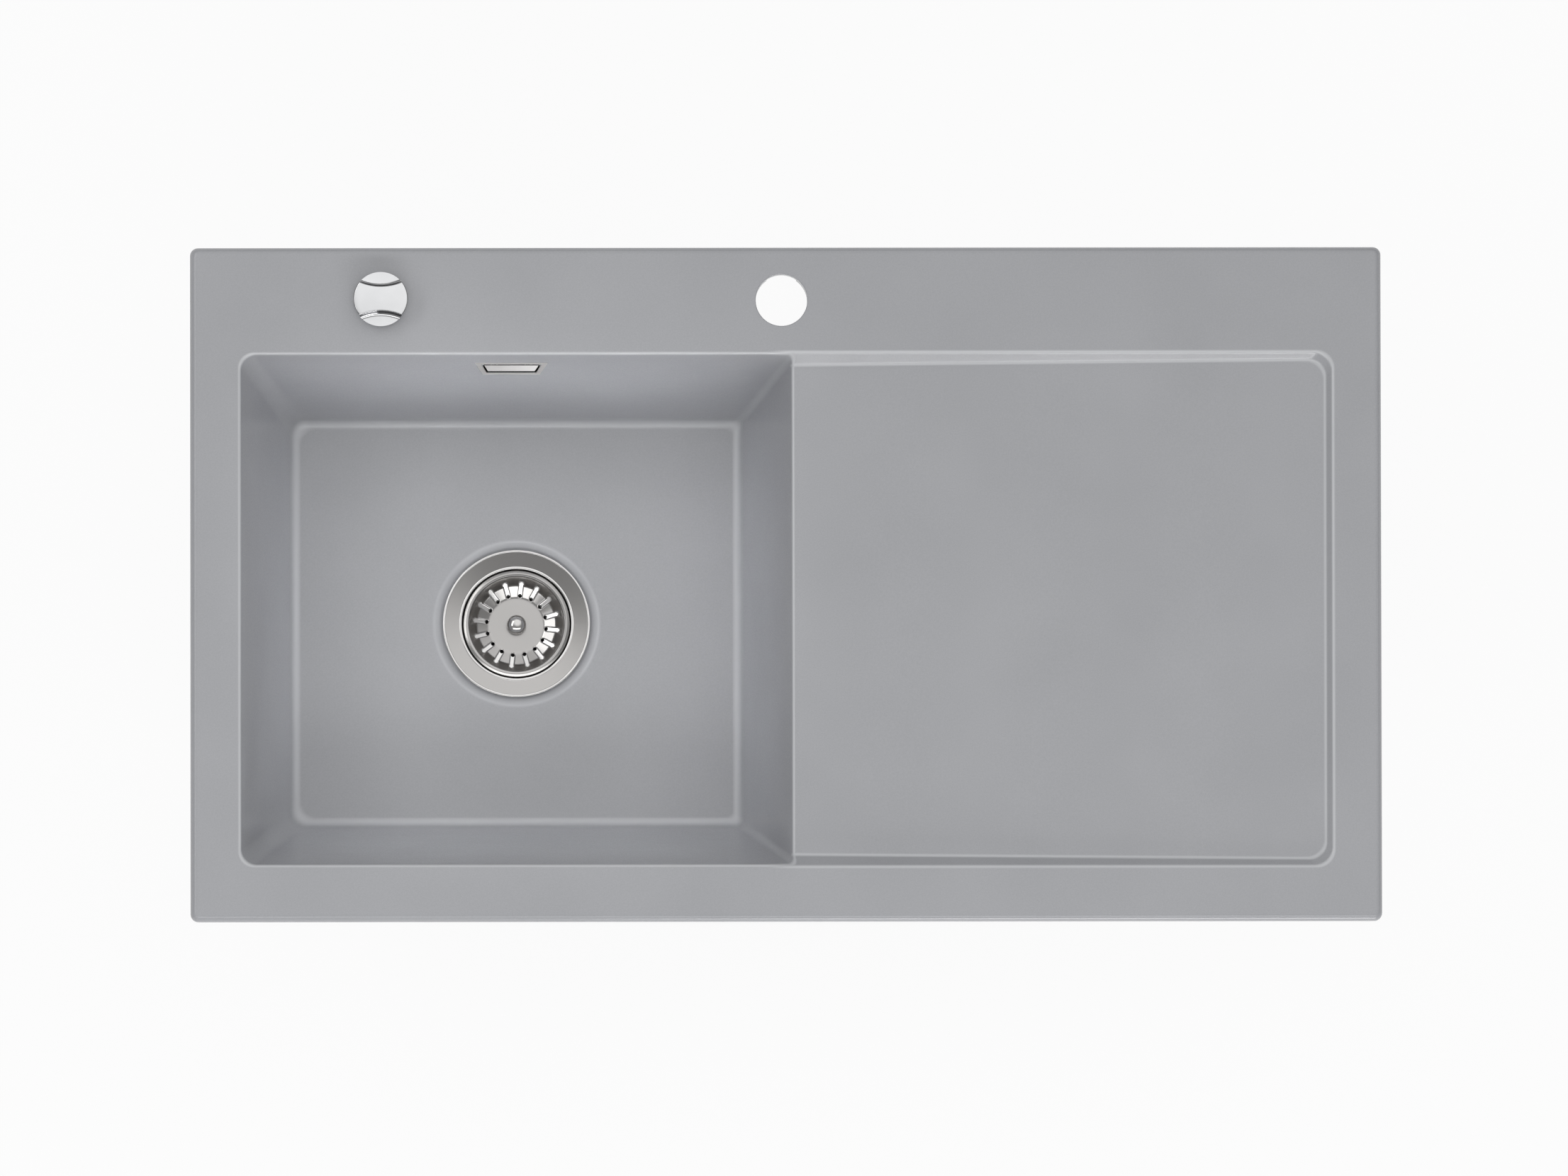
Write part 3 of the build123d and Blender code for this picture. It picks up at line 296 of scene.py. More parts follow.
skirt_inset, skirt_corner, skirt_low, skirt_round = 24.0, 20.0, -12.0, 2.0
ring = [index for index, _ in border]
for turn in even_steps(8):
    offset = edge_inset - edge_round * (1 - math.sin(turn))
    ring = add_ring(ring, border_plan(offset), rim_z - edge_round * (1 - math.cos(turn)))
for turn in even_steps(3):
    offset = edge_inset - foot_round * (1 - math.cos(turn))
    ring = add_ring(ring, border_plan(offset), foot_round * (1 - math.sin(turn)))
ring = add_ring(ring, skirt_plan(skirt_inset, skirt_corner), 0)
for turn in even_steps(3):
    inset = skirt_inset + skirt_round * (1 - math.cos(turn))
    height = skirt_low + skirt_round * (1 - math.sin(turn))
    ring = add_ring(ring, skirt_plan(inset, skirt_corner), height)
skirt_ring = ring

# The shell of the bowl hangs from the flat underside, with a hollow fillet where they meet.
ceramic_wall, root_fillet, shell_foot = 12.0, 8.0, 33.0
shell_angle = bowl_edge["angle"]
shell_profile = []
shell_start = ceramic_wall - (rim_z - skirt_low) / math.tan(shell_angle)
for turn in even_steps(5, shell_angle):
    reach = root_fillet * math.tan(shell_angle / 2) - root_fillet * math.sin(turn)
    shell_profile.append((shell_start + reach, skirt_low - root_fillet * (1 - math.cos(turn))))
shell_end = ceramic_wall - (rim_z - shell_z) / math.tan(shell_angle)
for turn in even_steps(10, shell_angle):
    reach = shell_foot * (math.sin(shell_angle - turn) - math.tan(shell_angle / 2))
    shell_profile.append((shell_end + reach, shell_z + shell_foot * (1 - math.cos(shell_angle - turn))))
ring, shell_ring = [], []
for spread, height in shell_profile:
    low = (bowl_left - spread, bowl_front - spread)
    high = (bowl_right + spread, bowl_rear + spread)
    ring = add_ring(ring, rounded_ring(low, high, plan_corner + ceramic_wall, 10), height)
    shell_ring = shell_ring or ring
faces.append(tuple(reversed(ring)))
sink = new_piece("ceramic_sink", points, faces)

# The flat underside is filled between the skirt and the shell.
shape = bmesh.new()
shape.from_mesh(sink.data)
shape.verts.ensure_lookup_table()
loops = []
for ring in (skirt_ring, shell_ring):
    for k in range(len(ring)):
        ends = (shape.verts[ring[k]], shape.verts[ring[k - 1]])
        loops.append(shape.edges.get(ends) or shape.edges.new(ends))
bmesh.ops.triangle_fill(shape, use_beauty=True, edges=loops, normal=(0, 0, -1))
bmesh.ops.recalc_face_normals(shape, faces=shape.faces)
shape.to_mesh(sink.data)
shape.free()

# Holes: a bell-mouthed tap hole, the hole for the control, the shallow seat and hole of the waste, and the
# overflow slot through the rear wall.
tap_mount = next(mount for mount in frame["record"]["mounts"] if mount["name"] == "tap_hole")
tap_x, tap_y = tap_mount["pos_m"][0] / MM, tap_mount["pos_m"][1] / MM
tap_radius, tap_round, tap_dip = tap_mount["dims"]["r_mm"], 0.9, 0.04
drain = sum(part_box("strainer_flange"), Vector()) / 2 / MM
control = sum(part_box("control_shank"), Vector()) / 2 / MM
excess = 6.0
tap_outline = [(0, skirt_low - excess), (tap_radius, skirt_low - excess)]
for turn in even_steps(6):
    mouth = tap_radius + tap_round * (1 - math.cos(turn))
    tap_outline.append((mouth, rim_z - tap_dip - tap_round * (1 - math.sin(turn))))
tap_mouth = tap_radius + 2 * tap_round
tap_outline += [(tap_mouth, rim_z), (tap_mouth, rim_z + excess), (0, rim_z + excess)]


def drilled(radius, low, high):
    """Outline of a plain round hole."""
    return [(0, low), (radius, low), (radius, high), (0, high)]


control_radius = 17.5
control_outline = drilled(control_radius, skirt_low - excess, rim_z + excess)
seat_drop, seat_radius, dish_radius, drain_radius, drain_round = 3.0, 56.8, 62.0, 48.0, 1.0
dish_rounding = 1.6
seat_z = floor_z - seat_drop
drain_outline = [
    (0, shell_z - excess),
    (drain_radius, shell_z - excess),
    (drain_radius, seat_z - drain_round),
    (drain_radius + drain_round, seat_z),
    (seat_radius, seat_z),
    (seat_radius + dish_rounding / 3, seat_z + dish_rounding / 6),
    (dish_radius - dish_rounding / 2, floor_z - dish_rounding / 2),
    (dish_radius + dish_rounding / 4, floor_z - dish_rounding / 6),
    (dish_radius + dish_rounding * 0.8, floor_z - dish_rounding / 24),
    (dish_radius + dish_rounding * 1.4, floor_z),
    (dish_radius + dish_rounding * 1.4, floor_z + excess),
    (0, floor_z + excess),
]
slot_half, slot_low, slot_high, slot_corner = 21.3, -11.6, 12.2, 4.0
slot_plan = rounded_ring((-slot_half, slot_low), (slot_half, slot_high), slot_corner, 6)
slot_middle, slot_back, slot_front = Vector((-207.0, 165.92, -26.0)), -30.0, 12.0
slot_frame = Matrix.Translation(slot_middle) @ Matrix.Rotation(bowl_edge["angle"], 4, "X")
slot_loops = [[slot_frame @ Vector((x, y, depth)) for x, y in slot_plan] for depth in (slot_back, slot_front)]
cutters = [
    turned_piece("tap_hole_cutter", tap_outline, (tap_x, tap_y)),
    turned_piece("control_hole_cutter", control_outline, control),
    turned_piece("drain_cutter", drain_outline, drain, 160),
    looped_piece("overflow_cutter", slot_loops),
]


def cut_away(piece, cutters, smooth_angle):
    """Cut the shapes of the cutters out of a piece, smooth what is left and clear the cutters away."""
    for cutter in cutters:
        cut = piece.modifiers.new(cutter.name, "BOOLEAN")
        cut.object = cutter
        cut.operation = "DIFFERENCE"
        cut.solver = "EXACT"
    evaluated = piece.evaluated_get(bpy.context.evaluated_depsgraph_get())
    mesh = bpy.data.meshes.new_from_object(evaluated)
    mesh.shade_smooth()
    mesh.set_sharp_from_angle(angle=math.radians(smooth_angle))
    piece.modifiers.clear()
    piece.data = mesh
    for cutter in cutters:
        bpy.data.objects.remove(cutter)
    return mesh


sink_mesh = cut_away(sink, cutters, 35)

# The lips of the bowl, drainer and drain's dish are painted paler, partly glaze that thins there in the kiln
# and partly painted highlight;
# the hollows at their feet get a painted highlight. So each point of the upper side keeps how far into such a
# round it is.
past_lip, skin_depth, dish_reach = 1.0, 5.0, 1.5 * dish_rounding
places = np.empty(3 * len(sink_mesh.vertices))
sink_mesh.vertices.foreach_get("co", places)
x, y, z = (places.reshape(-1, 3) / MM).T
_, fade, tray, bowl = sink_edges(x, y)
break_and_highlight = np.where(bowl[0] > past_lip, 0, fade * edge_share(*tray, **tray_edge))
break_and_highlight = np.maximum(break_and_highlight, edge_share(*bowl, **bowl_edge))
dish_place = np.abs(np.hypot(x - drain.x, y - drain.y) - dish_radius) / dish_reach
break_and_highlight = np.maximum(break_and_highlight, dish_highlight * np.clip(1 - dish_place, 0, 1))
break_and_highlight = np.where(z > upper_side(x, y) - skin_depth, break_and_highlight, 0)
sink_mesh.attributes.new("edge_highlight", "FLOAT", "POINT").data.foreach_set("value", break_and_highlight)


def place(tree, kind, inputs=None, **settings):
    """Add a shader node. Inputs name its sockets, with a value or the output that feeds each."""
    node = tree.nodes.new("ShaderNode" + kind)
    for name, value in settings.items():
        setattr(node, name, value)
    for name, value in (inputs or {}).items():
        socket = next(s for s in node.inputs if name in (s.identifier, s.name))
        if isinstance(value, bpy.types.NodeSocket):
            tree.links.new(value, socket)
        else:
            socket.default_value = value
    return node


def reckon(tree, operation, first, second):
    """Result of a sum on two numbers."""
    return place(tree, "Math", {"Value": first, "Value_001": second}, operation=operation).outputs["Value"]


def reckon_vectors(tree, operation, first, second, result="Vector"):
    """Result of a sum on two vectors: a vector or a value."""
    node = place(tree, "VectorMath", {"Vector": first, "Vector_001": second}, operation=operation)
    return node.outputs[result]


def start_group(name, inputs, outputs):
    """Start a node group with named number or vector inputs and number outputs."""
    group = bpy.data.node_groups.new(name, "ShaderNodeTree")
    for socket_name, default in inputs.items():
        kind = "NodeSocketVector" if isinstance(default, tuple) else "NodeSocketFloat"
        group.interface.new_socket(socket_name, in_out="INPUT", socket_type=kind).default_value = default
    for socket_name in outputs:
        group.interface.new_socket(socket_name, in_out="OUTPUT", socket_type="NodeSocketFloat")
    return group, group.nodes.new("NodeGroupInput").outputs, group.nodes.new("NodeGroupOutput").inputs


# Fine grain and broad mottling, which every moulded, cast and glazed surface here has in its own measure.
grain_group, given, put = start_group("surface_grain", {"Grain": 1000.0, "Mottle": 20.0}, ("Grain", "Mottle"))
where = place(grain_group, "TexCoord").outputs["Object"]
for output, detail in (("Grain", 2.0), ("Mottle", 3.0)):
    noise = place(grain_group, "TexNoise", {"Vector": where, "Scale": given[output], "Detail": detail})
    grain_group.links.new(noise.outputs["Fac"], put[output])


def new_material(name, **sockets):
    """Start a material; constant values are set on the shader's own sockets."""
    material = bpy.data.materials.new(name)
    material.use_nodes = True
    shader = material.node_tree.nodes["Principled BSDF"]
    for socket, value in sockets.items():
        shader.inputs[socket.replace("_", " ")].default_value = value
    return material, material.node_tree, shader.inputs


def coat(mesh, *materials):
    """Give a mesh its finishes in place of what it had."""
    mesh.materials.clear()
    for material in materials:
        mesh.materials.append(material)


def tone_between(tree, mask, dark, light):
    """Colour that goes from a dark to a light tone with a mask."""
    tones = [(*tone, 1) if isinstance(tone, tuple) else tone for tone in (dark, light)]
    inputs = {"Factor_Float": mask, "A_Color": tones[0], "B_Color": tones[1]}
    mix = place(tree, "Mix", inputs, data_type="RGBA")
    return next(output for output in mix.outputs if output.identifier == "Result_Color")


def value_between(tree, mask, low, high):
    """Number that goes from low to high as a mask goes from a third to two thirds."""
    limits = {"Value": mask, "From Min": 0.33, "From Max": 0.67, "To Min": low, "To Max": high}
    return place(tree, "MapRange", limits).outputs["Result"]


def raise_bump(tree, height, depth, normal=None):
    """Normal of a surface raised by a height, its depth in millimetres."""
    inputs = {"Height": height, "Distance": depth * MM}
    if normal is not None:
        inputs["Normal"] = normal
    return place(tree, "Bump", inputs).outputs["Normal"]


def finish(tree, shader, patches, relief, dark, light, roughness, depth):
    """Let a surface's tone follow one mask, and its gloss and relief another."""
    tree.links.new(tone_between(tree, value_between(tree, patches, 0, 1), dark, light), shader["Base Color"])
    tree.links.new(value_between(tree, relief, *roughness), shader["Roughness"])
    tree.links.new(raise_bump(tree, relief, depth), shader["Normal"])


# Satin glaze: grey, with a fine matt grain from the crystals in it and a faint unevenness in its thickness.
glaze, tree, shader = new_material("satin_glaze", IOR=1.58)
grain = place(tree, "Group", {"Grain": 900.0, "Mottle": 9.0}, node_tree=grain_group).outputs
mean = reckon(tree, "MULTIPLY", reckon(tree, "ADD", grain["Grain"], grain["Mottle"]), 0.5)
mask = value_between(tree, mean, 0.0, 1.0)
glaze_tone = tone_between(tree, mask, (0.416, 0.422, 0.443), (0.466, 0.472, 0.494))
# Lips, feet and dish ring are painted paler: thinned glaze on the lips, and a painted highlight on all of
# them.
highlight_mask = place(tree, "Attribute", attribute_name="edge_highlight").outputs["Fac"]
tree.links.new(tone_between(tree, highlight_mask, glaze_tone, (0.66, 0.67, 0.69)), shader["Base Color"])
tree.links.new(value_between(tree, grain["Grain"], 0.21, 0.26), shader["Roughness"])
wave = raise_bump(tree, grain["Mottle"], 0.8)
tree.links.new(raise_bump(tree, grain["Grain"], 0.018, wave), shader["Normal"])


def moulded(name, dark, light, roughness, grain_scale, depth, mottle_scale=25.0, index=1.49):
    """Clay, plastic or rubber: fine texture from the mould and a faint unevenness of colour."""
    material, tree, shader = new_material(name, IOR=index)
    scales = {"Grain": grain_scale, "Mottle": mottle_scale}
    grain = place(tree, "Group", scales, node_tree=grain_group).outputs
    finish(tree, shader, grain["Mottle"], grain["Grain"], dark, light, roughness, depth)
    return material


# The walls of the overflow slot are painted near black: painted shade, so that the slot shows as a dark gap.
painted_slot_shade = moulded(
    "painted_slot_shade", (0.012, 0.012, 0.012), (0.022, 0.021, 0.02), (0.7, 0.9), 600.0, 0.1, 80.0, 1.45
)
coat(sink_mesh, glaze, painted_slot_shade)
into_slot, slack = slot_frame.inverted(), 0.2
for face in sink_mesh.polygons:
    x, y, depth = into_slot @ (face.center / MM)
    across = abs((into_slot.to_3x3() @ face.normal).z) < 0.5
    within = abs(x) < slot_half + slack and slot_low - slack < y < slot_high + slack
    if across and within and -ceramic_wall < depth < 0:
        face.material_index = 1
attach(sink, "sink")
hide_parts("sink_body")

# Strainer flange, cup and basket: stainless steel sheet, pressed, then turned and satin-finished on a lathe,
# so fine rings run round the drain's axis. The ball knob and the hollow screw below are turned from bar.
drain_axis = tuple(drain * MM)
turning_group, given, put = start_group("turning_lines", {"Axis": drain_axis, "Lines": 3000.0}, ("Lines",))
where = place(turning_group, "TexCoord").outputs["Object"]
away = reckon_vectors(turning_group, "SUBTRACT", where, given["Axis"])
flat = reckon_vectors(turning_group, "MULTIPLY", away, (1, 1, 0))
reach = reckon_vectors(turning_group, "LENGTH", flat, (0, 0, 0), "Value")
turns = reckon(turning_group, "MULTIPLY", reach, given["Lines"])
rings = place(turning_group, "TexNoise", {"W": turns, "Scale": 1.0}, noise_dimensions="1D")
turning_group.links.new(rings.outputs["Fac"], put["Lines"])


def turned_steel(name, dark, light, roughness, lines, anisotropy):
    """Metal finished on a lathe: rings round the drain's axis in its colour, gloss and relief."""
    material, tree, shader = new_material(name, Metallic=1.0, Anisotropic=anisotropy)
    inputs = {"Axis": drain_axis, "Lines": lines}
    rings = place(tree, "Group", inputs, node_tree=turning_group).outputs["Lines"]
    finish(tree, shader, rings, rings, dark, light, roughness, 0.003)
    around = place(tree, "Tangent", direction_type="RADIAL", axis="Z")
    tree.links.new(around.outputs["Tangent"], shader["Tangent"])
    return material


def dress(material, *names):
    """Give CAD nodes a finish in place of their plain one."""
    for name in names:
        coat(nodes[name].data, material)


satin_finish = ((0.46, 0.45, 0.44), (0.50, 0.49, 0.48), (0.17, 0.22), 3500.0, 0.4)
dress(turned_steel("satin_steel", *satin_finish), "strainer_flange")

# The flange's outer edge is rolled and its neck is beaded, and both are polished, so that they catch the
# light as two thin rings.
bright_steel = turned_steel("bright_steel", (0.70, 0.69, 0.68), (0.76, 0.75, 0.74), (0.08, 0.12), 2000.0, 0.0)


def rolled_ring(name, radius, height, half_width, rise):
    """A half-round bead that runs round the drain on the flange."""
    bead = []
    for turn in even_steps(12, math.pi):
        bead.append((radius + half_width * math.cos(turn), floor_z + height + rise * math.sin(turn)))
    foot = floor_z + height - rise
    bead += [(radius - half_width, foot), (radius + half_width, foot), bead[0]]
    piece = turned_piece(name, bead, drain, 144)
    piece.data.materials.append(bright_steel)
    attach(piece, "sink")


rolled_ring("flange_edge_roll", 55.1, 0.0, 0.9, 0.3)
rolled_ring("flange_neck_bead", 42.7, -2.7, 1.1, 0.4)

# Basket: pressed from one disc of sheet, with a rolled rim, a steep wall and a cone round the flat middle.
# Sixteen flutes are pressed outwards through the cone into the wall, each with a drilled hole at its foot.
basket_sheet, basket_bore = 0.9, 3.4
basket_line = (
    (basket_bore, -26.5, 0.0),
    (20.9, -26.5, 1.2),
    (30.4, -23.3, 1.0),
    (35.9, -5.2, 0.6),
    (36.5, -3.8, 0.4),
    (38.2, -3.5, 0.5),
    (40.5, -4.3, 0.4),
    (40.8, -5.2, 0.3),
    (40.8, -5.9, 0.0),
)
flute_count, flute_start = 16, math.radians(15.6)
flute_foot, flute_head, flute_half, flute_depth, flute_edge = 22.8, 31.3, 1.9, 0.5, 0.4
row_step, steps_per_flute, lane_half = 0.55, 24, flute_half + 0.1
hole_radius, hole_sides, hole_low, hole_high = 1.45, 24, floor_z - 30, floor_z - 20


def rounded_line(corners, step):
    """Points of a line of radius and height, each corner rounded over its own set-back."""
    line = []
    for k, (radius, height, setback) in enumerate(corners):
        here = Vector((radius, height))
        if setback:
            start = here + (Vector(corners[k - 1][:2]) - here).normalized() * setback
            end = here + (Vector(corners[k + 1][:2]) - here).normalized() * setback
            shares = even_steps(6, 1.0)
            bend = [(1 - t) ** 2 * start + 2 * t * (1 - t) * here + t**2 * end for t in shares]
        else:
            bend = [here]
        if line:
            last, run = line[-1], bend[0] - line[-1]
            count = max(1, math.ceil(run.length / step))
            line.extend(last + run * (n / count) for n in range(1, count))
        line.extend(bend)
    return line


def smooth_step(value, low, high):
    """Share from 0 to 1 that eases in and out between two limits."""
    share = max(0.0, min(1.0, (value - low) / (high - low)))
    return share * share * (3 - 2 * share)


cone_slope = (basket_line[2][1] - basket_line[1][1]) / (basket_line[2][0] - basket_line[1][0])
flute_turn = 2 * math.pi / flute_count


def flute_lane(step, radius):
    """Angle of a point from a flute's middle line: half of the points lie in the flute, half beside it."""
    lane = 4 * step / steps_per_flute - 2
    reach = max(radius, flute_foot - flute_half)
    edge = math.asin(lane_half / reach)
    if abs(lane) <= 1:
        return math.asin(lane * lane_half / reach)
    return math.copysign(edge + (abs(lane) - 1) * (flute_turn / 2 - edge), lane)


def pressed_share(radius, off):
    """How far the press takes the sheet down, from 0 to 1, at an angle from a flute's middle line."""
    reach = max(flute_foot, min(flute_head, radius * math.cos(off)))
    away = math.hypot(radius * math.cos(off) - reach, radius * math.sin(off))
    return 1 - smooth_step(away, flute_half - flute_edge, flute_half)


points = []
basket_rows = rounded_line(basket_line, row_step)
around = flute_count * steps_per_flute
for radius, height in basket_rows:
    foot_height = basket_line[1][1] - flute_depth + max(0.0, radius - basket_line[1][0]) * cone_slope
    for k in range(around):
        flute, step = divmod(k, steps_per_flute)
        off = flute_lane(step, radius)
        turn = flute_start + flute * flute_turn + off
        level = height + (min(height, foot_height) - height) * pressed_share(radius, off)
        points.append(on_circle(drain, radius, turn, floor_z + level))
sides = loop_faces(len(basket_rows), around)[1:-1]
upward = [(first, *others[::-1]) for first, *others in sides]
basket = new_piece("fluted_basket", points, upward, 50)
sheet = basket.modifiers.new("sheet", "SOLIDIFY")
sheet.thickness = basket_sheet * MM
sheet.offset = -1
points, faces = [], []
for k in range(flute_count):
    middle = on_circle(drain, flute_foot, flute_start + k * flute_turn, 0)
    faces += loop_faces(2, hole_sides, len(points))
    for height in (hole_low, hole_high):
        for n in range(hole_sides):
            points.append(on_circle(middle, hole_radius, 2 * math.pi * n / hole_sides, height))
basket_mesh = cut_away(basket, [new_piece("hole_cutter", points, faces)], 50)

# The flutes are painted much lighter than the rest of the basket: a painted highlight, with some burnish from
# the press. So each point of the basket keeps how far it was pressed.
flute_highlight = basket_mesh.attributes.new("pressed", "FLOAT", "POINT")
for vertex, mark in zip(basket_mesh.vertices, flute_highlight.data):
    x, y, _ = vertex.co / MM - drain
    off = (math.atan2(y, x) - flute_start + flute_turn / 2) % flute_turn - flute_turn / 2
    mark.value = pressed_share(math.hypot(x, y), off)
fluted_steel = turned_steel("fluted_steel", *satin_finish)
tree = fluted_steel.node_tree
shader = tree.nodes["Principled BSDF"].inputs
steel_tone = shader["Base Color"].links[0].from_socket
flute_highlight_mask = place(tree, "Attribute", attribute_name="pressed").outputs["Fac"]
# Painted highlight on the flutes.
tree.links.new(tone_between(tree, flute_highlight_mask, steel_tone, (0.88, 0.87, 0.86)), shader["Base Color"])
coat(basket_mesh, fluted_steel)
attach(basket, "basket")
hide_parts("strainer_basket")
bar_steel = turned_steel("bar_steel", (0.62, 0.61, 0.60), (0.70, 0.69, 0.68), (0.08, 0.14), 2500.0, 0.2)
dress(bar_steel, "hollow_screw", "lift_pin", "cable_elbow")

# Basket knob: a dome on a waisted stem, turned from stainless bar and polished. Its stud is screwed down
# through the basket and holds the seal and its retainer below.
knob_box = [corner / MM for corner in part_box("basket_knob")]
dome_radius, dome_top = (knob_box[1].x - knob_box[0].x) / 2, knob_box[1].z
dome_height, dome_under, dome_sweep = 4.6, 3.2, math.radians(140)
stem_radius, stem_drop, stem_flare, flare_height, stud_radius = 3.0, 3.6, 0.9, 1.2, 2.4
dome_middle, disc_top = dome_top - dome_height, floor_z + basket_line[0][1]
knob_line = [(0, dome_top)]
for turn in even_steps(14, dome_sweep)[1:]:
    rise = (dome_height if turn < math.pi / 2 else dome_under) * math.cos(turn)
    knob_line.append((dome_radius * math.sin(turn), dome_middle + rise))
knob_line += [(stem_radius, dome_middle - stem_drop), (stem_radius, disc_top + flare_height)]
knob_line += [(stem_radius + stem_flare, disc_top), (stud_radius, disc_top), (stud_radius, knob_box[0].z)]
knob_line.append((0, knob_box[0].z))
dome = turned_piece("domed_knob", knob_line[::-1], drain, 64)
dome.data.materials.append(bar_steel)
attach(dome, "basket")
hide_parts("basket_knob")

# Overflow: a trapezoid frame and a plate of stainless steel, brushed along their length. The frame's bridge
# is screwed through the wall to a moulded housing, with a rubber gasket between the housing and the ceramic.
long_strokes, short_strokes = (20.0, 4000.0, 4000.0), (600.0, 600.0, 600.0)
brush_group, given, put = start_group("brushed_lines", {"Stretch": long_strokes}, ("Lines",))
where = place(brush_group, "TexCoord").outputs["Object"]
drawn = reckon_vectors(brush_group, "MULTIPLY", where, given["Stretch"])
strokes = place(brush_group, "TexNoise", {"Vector": drawn, "Scale": 1.0, "Detail": 2.0})
brush_group.links.new(strokes.outputs["Fac"], put["Lines"])


def brushed_steel(name, dark, light, roughness, anisotropy, stretch=long_strokes):
    """Steel brushed from left to right, so that it spreads the light up and down."""
    material, tree, shader = new_material(name, Metallic=1.0, Anisotropic=anisotropy)
    lines = place(tree, "Group", {"Stretch": stretch}, node_tree=brush_group).outputs["Lines"]
    finish(tree, shader, lines, lines, dark, light, roughness, 0.004)
    facing = place(tree, "NewGeometry").outputs["Normal"]
    tree.links.new(reckon_vectors(tree, "CROSS_PRODUCT", facing, (1, 0, 0)), shader["Tangent"])
    return material


def wall_loop(top, bottom, height, inset, level):
    """Corners of a trapezoid on the bowl's rear wall, set in by an inset, at a level above the wall."""
    top_share, bottom_share = 2.2, 1.8
    top, bottom, height = top - top_share * inset, bottom - bottom_share * inset, height - 2 * inset
    corners = ((-bottom, -height), (bottom, -height), (top, height), (-top, height))
    return [slot_frame @ Vector((x / 2, y / 2, level)) for x, y in corners]


frame_size, window_size, cover_size = (55.0, 43.0, 31.0), (45.5, 37.0, 24.6), (41.0, 35.4, 15.5)
frame_edge = ((0, 0), (0, 0.35), (0.08, 0.52), (0.25, 0.6))
cover_edge = ((0, -0.3), (0, -0.05), (0.06, 0.07), (0.2, 0.12))
outer_loops = [wall_loop(*frame_size, inset, level) for inset, level in frame_edge]
window_loops = [wall_loop(*window_size, -inset, level) for inset, level in frame_edge[::-1]]
trim = looped_piece("overflow_trim", outer_loops + window_loops, closed=True)
bridge_out, bridge_in, bridge_top, bridge_foot, bridge_half = 21.2, 20.9, -4.0, -5.0, 3.5
bridge_line = [(-bridge_out, 0), (-bridge_in, 0), (-bridge_in, bridge_top), (bridge_in, bridge_top)]
bridge_line += [(bridge_in, 0), (bridge_out, 0), (bridge_out, bridge_foot), (-bridge_out, bridge_foot)]
bridge_loops = [
    [slot_frame @ Vector((x, side, level)) for x, level in bridge_line]
    for side in (bridge_half, -bridge_half)
]
bridge = looped_piece("overflow_bridge", bridge_loops)
cover_loops = [wall_loop(*cover_size, inset, level) for inset, level in cover_edge]
plate = looped_piece("overflow_plate", cover_loops)
finishes = (
    (trim, brushed_steel("frame_steel", (0.66, 0.65, 0.64), (0.76, 0.75, 0.74), (0.44, 0.52), 0.85)),
    # The bridge is painted near black: painted shade behind the plate.
    (bridge, brushed_steel("painted_shade_steel", (0.02, 0.02, 0.02), (0.035, 0.035, 0.034), (0.5, 0.6), 0.2)),
    (plate, brushed_steel("cover_steel", (0.88, 0.87, 0.86), (0.94, 0.93, 0.92), (0.60, 0.68), 0.9)),
)
for piece, steel in finishes:
    coat(piece.data, steel)
    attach(piece, "sink")
for piece in (trim, bridge):
    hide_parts("overflow_frame")
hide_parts("overflow_cover")
screw_steel = brushed_steel(
    "screw_steel", (0.52, 0.51, 0.50), (0.66, 0.65, 0.64), (0.22, 0.36), 0.2, short_strokes
)
dress(screw_steel, "overflow_screws", "grub_screw", "knob_spindle", "spindle_clip", "cover_screws")

# Housing, pot, nuts, case and seals: plastic, white where water runs and black elsewhere, and black rubber,
# all moulded. The nuts draw the pot, the housing and the control up against the ceramic, on their seals.
white_moulding = moulded("white_moulding", (0.74, 0.74, 0.72), (0.80, 0.80, 0.785), (0.36, 0.5), 1400.0, 0.03)
dress(white_moulding, "overflow_housing", "hose_nut_upper", "hose_nut_lower", "waste_pot", "drive_rack")
black_moulding = moulded(
    "black_moulding", (0.035, 0.035, 0.038), (0.055, 0.055, 0.060), (0.38, 0.55), 1600.0, 0.04
)
dress(black_moulding, "gland_nut", "seal_retainer", "control_nut", "mechanism_case", "mechanism_cover")
black_rubber = moulded(
    "black_rubber", (0.022, 0.022, 0.024), (0.040, 0.040, 0.042), (0.62, 0.82), 900.0, 0.05
)
dress(black_rubber, "overflow_gasket", "flange_gasket", "pot_gasket", "pin_seal", "basket_seal")
dress(black_rubber, "control_gasket", "control_washer")

# Overflow hose: ribbed plastic tube, blown in a mould, with plain cuffs that the union nuts hold on their
# nipples. It bends once, from the housing down and forward to the waste pot.
hose_route = (
    (-207.0, 191.28, -56.95),
    (-207.0, 176.6, -126.1),
    (-207.0, 156.4, -221.0),
    (-207.0, 59.4, -221.0),
    (-207.0, 42.0, -221.0),
)
hose_cuff, rib_pitch, rib_radius, rib_depth = 27.0, 5.0, 13.4, 1.7
rib_steps, hose_sides = 8, 40


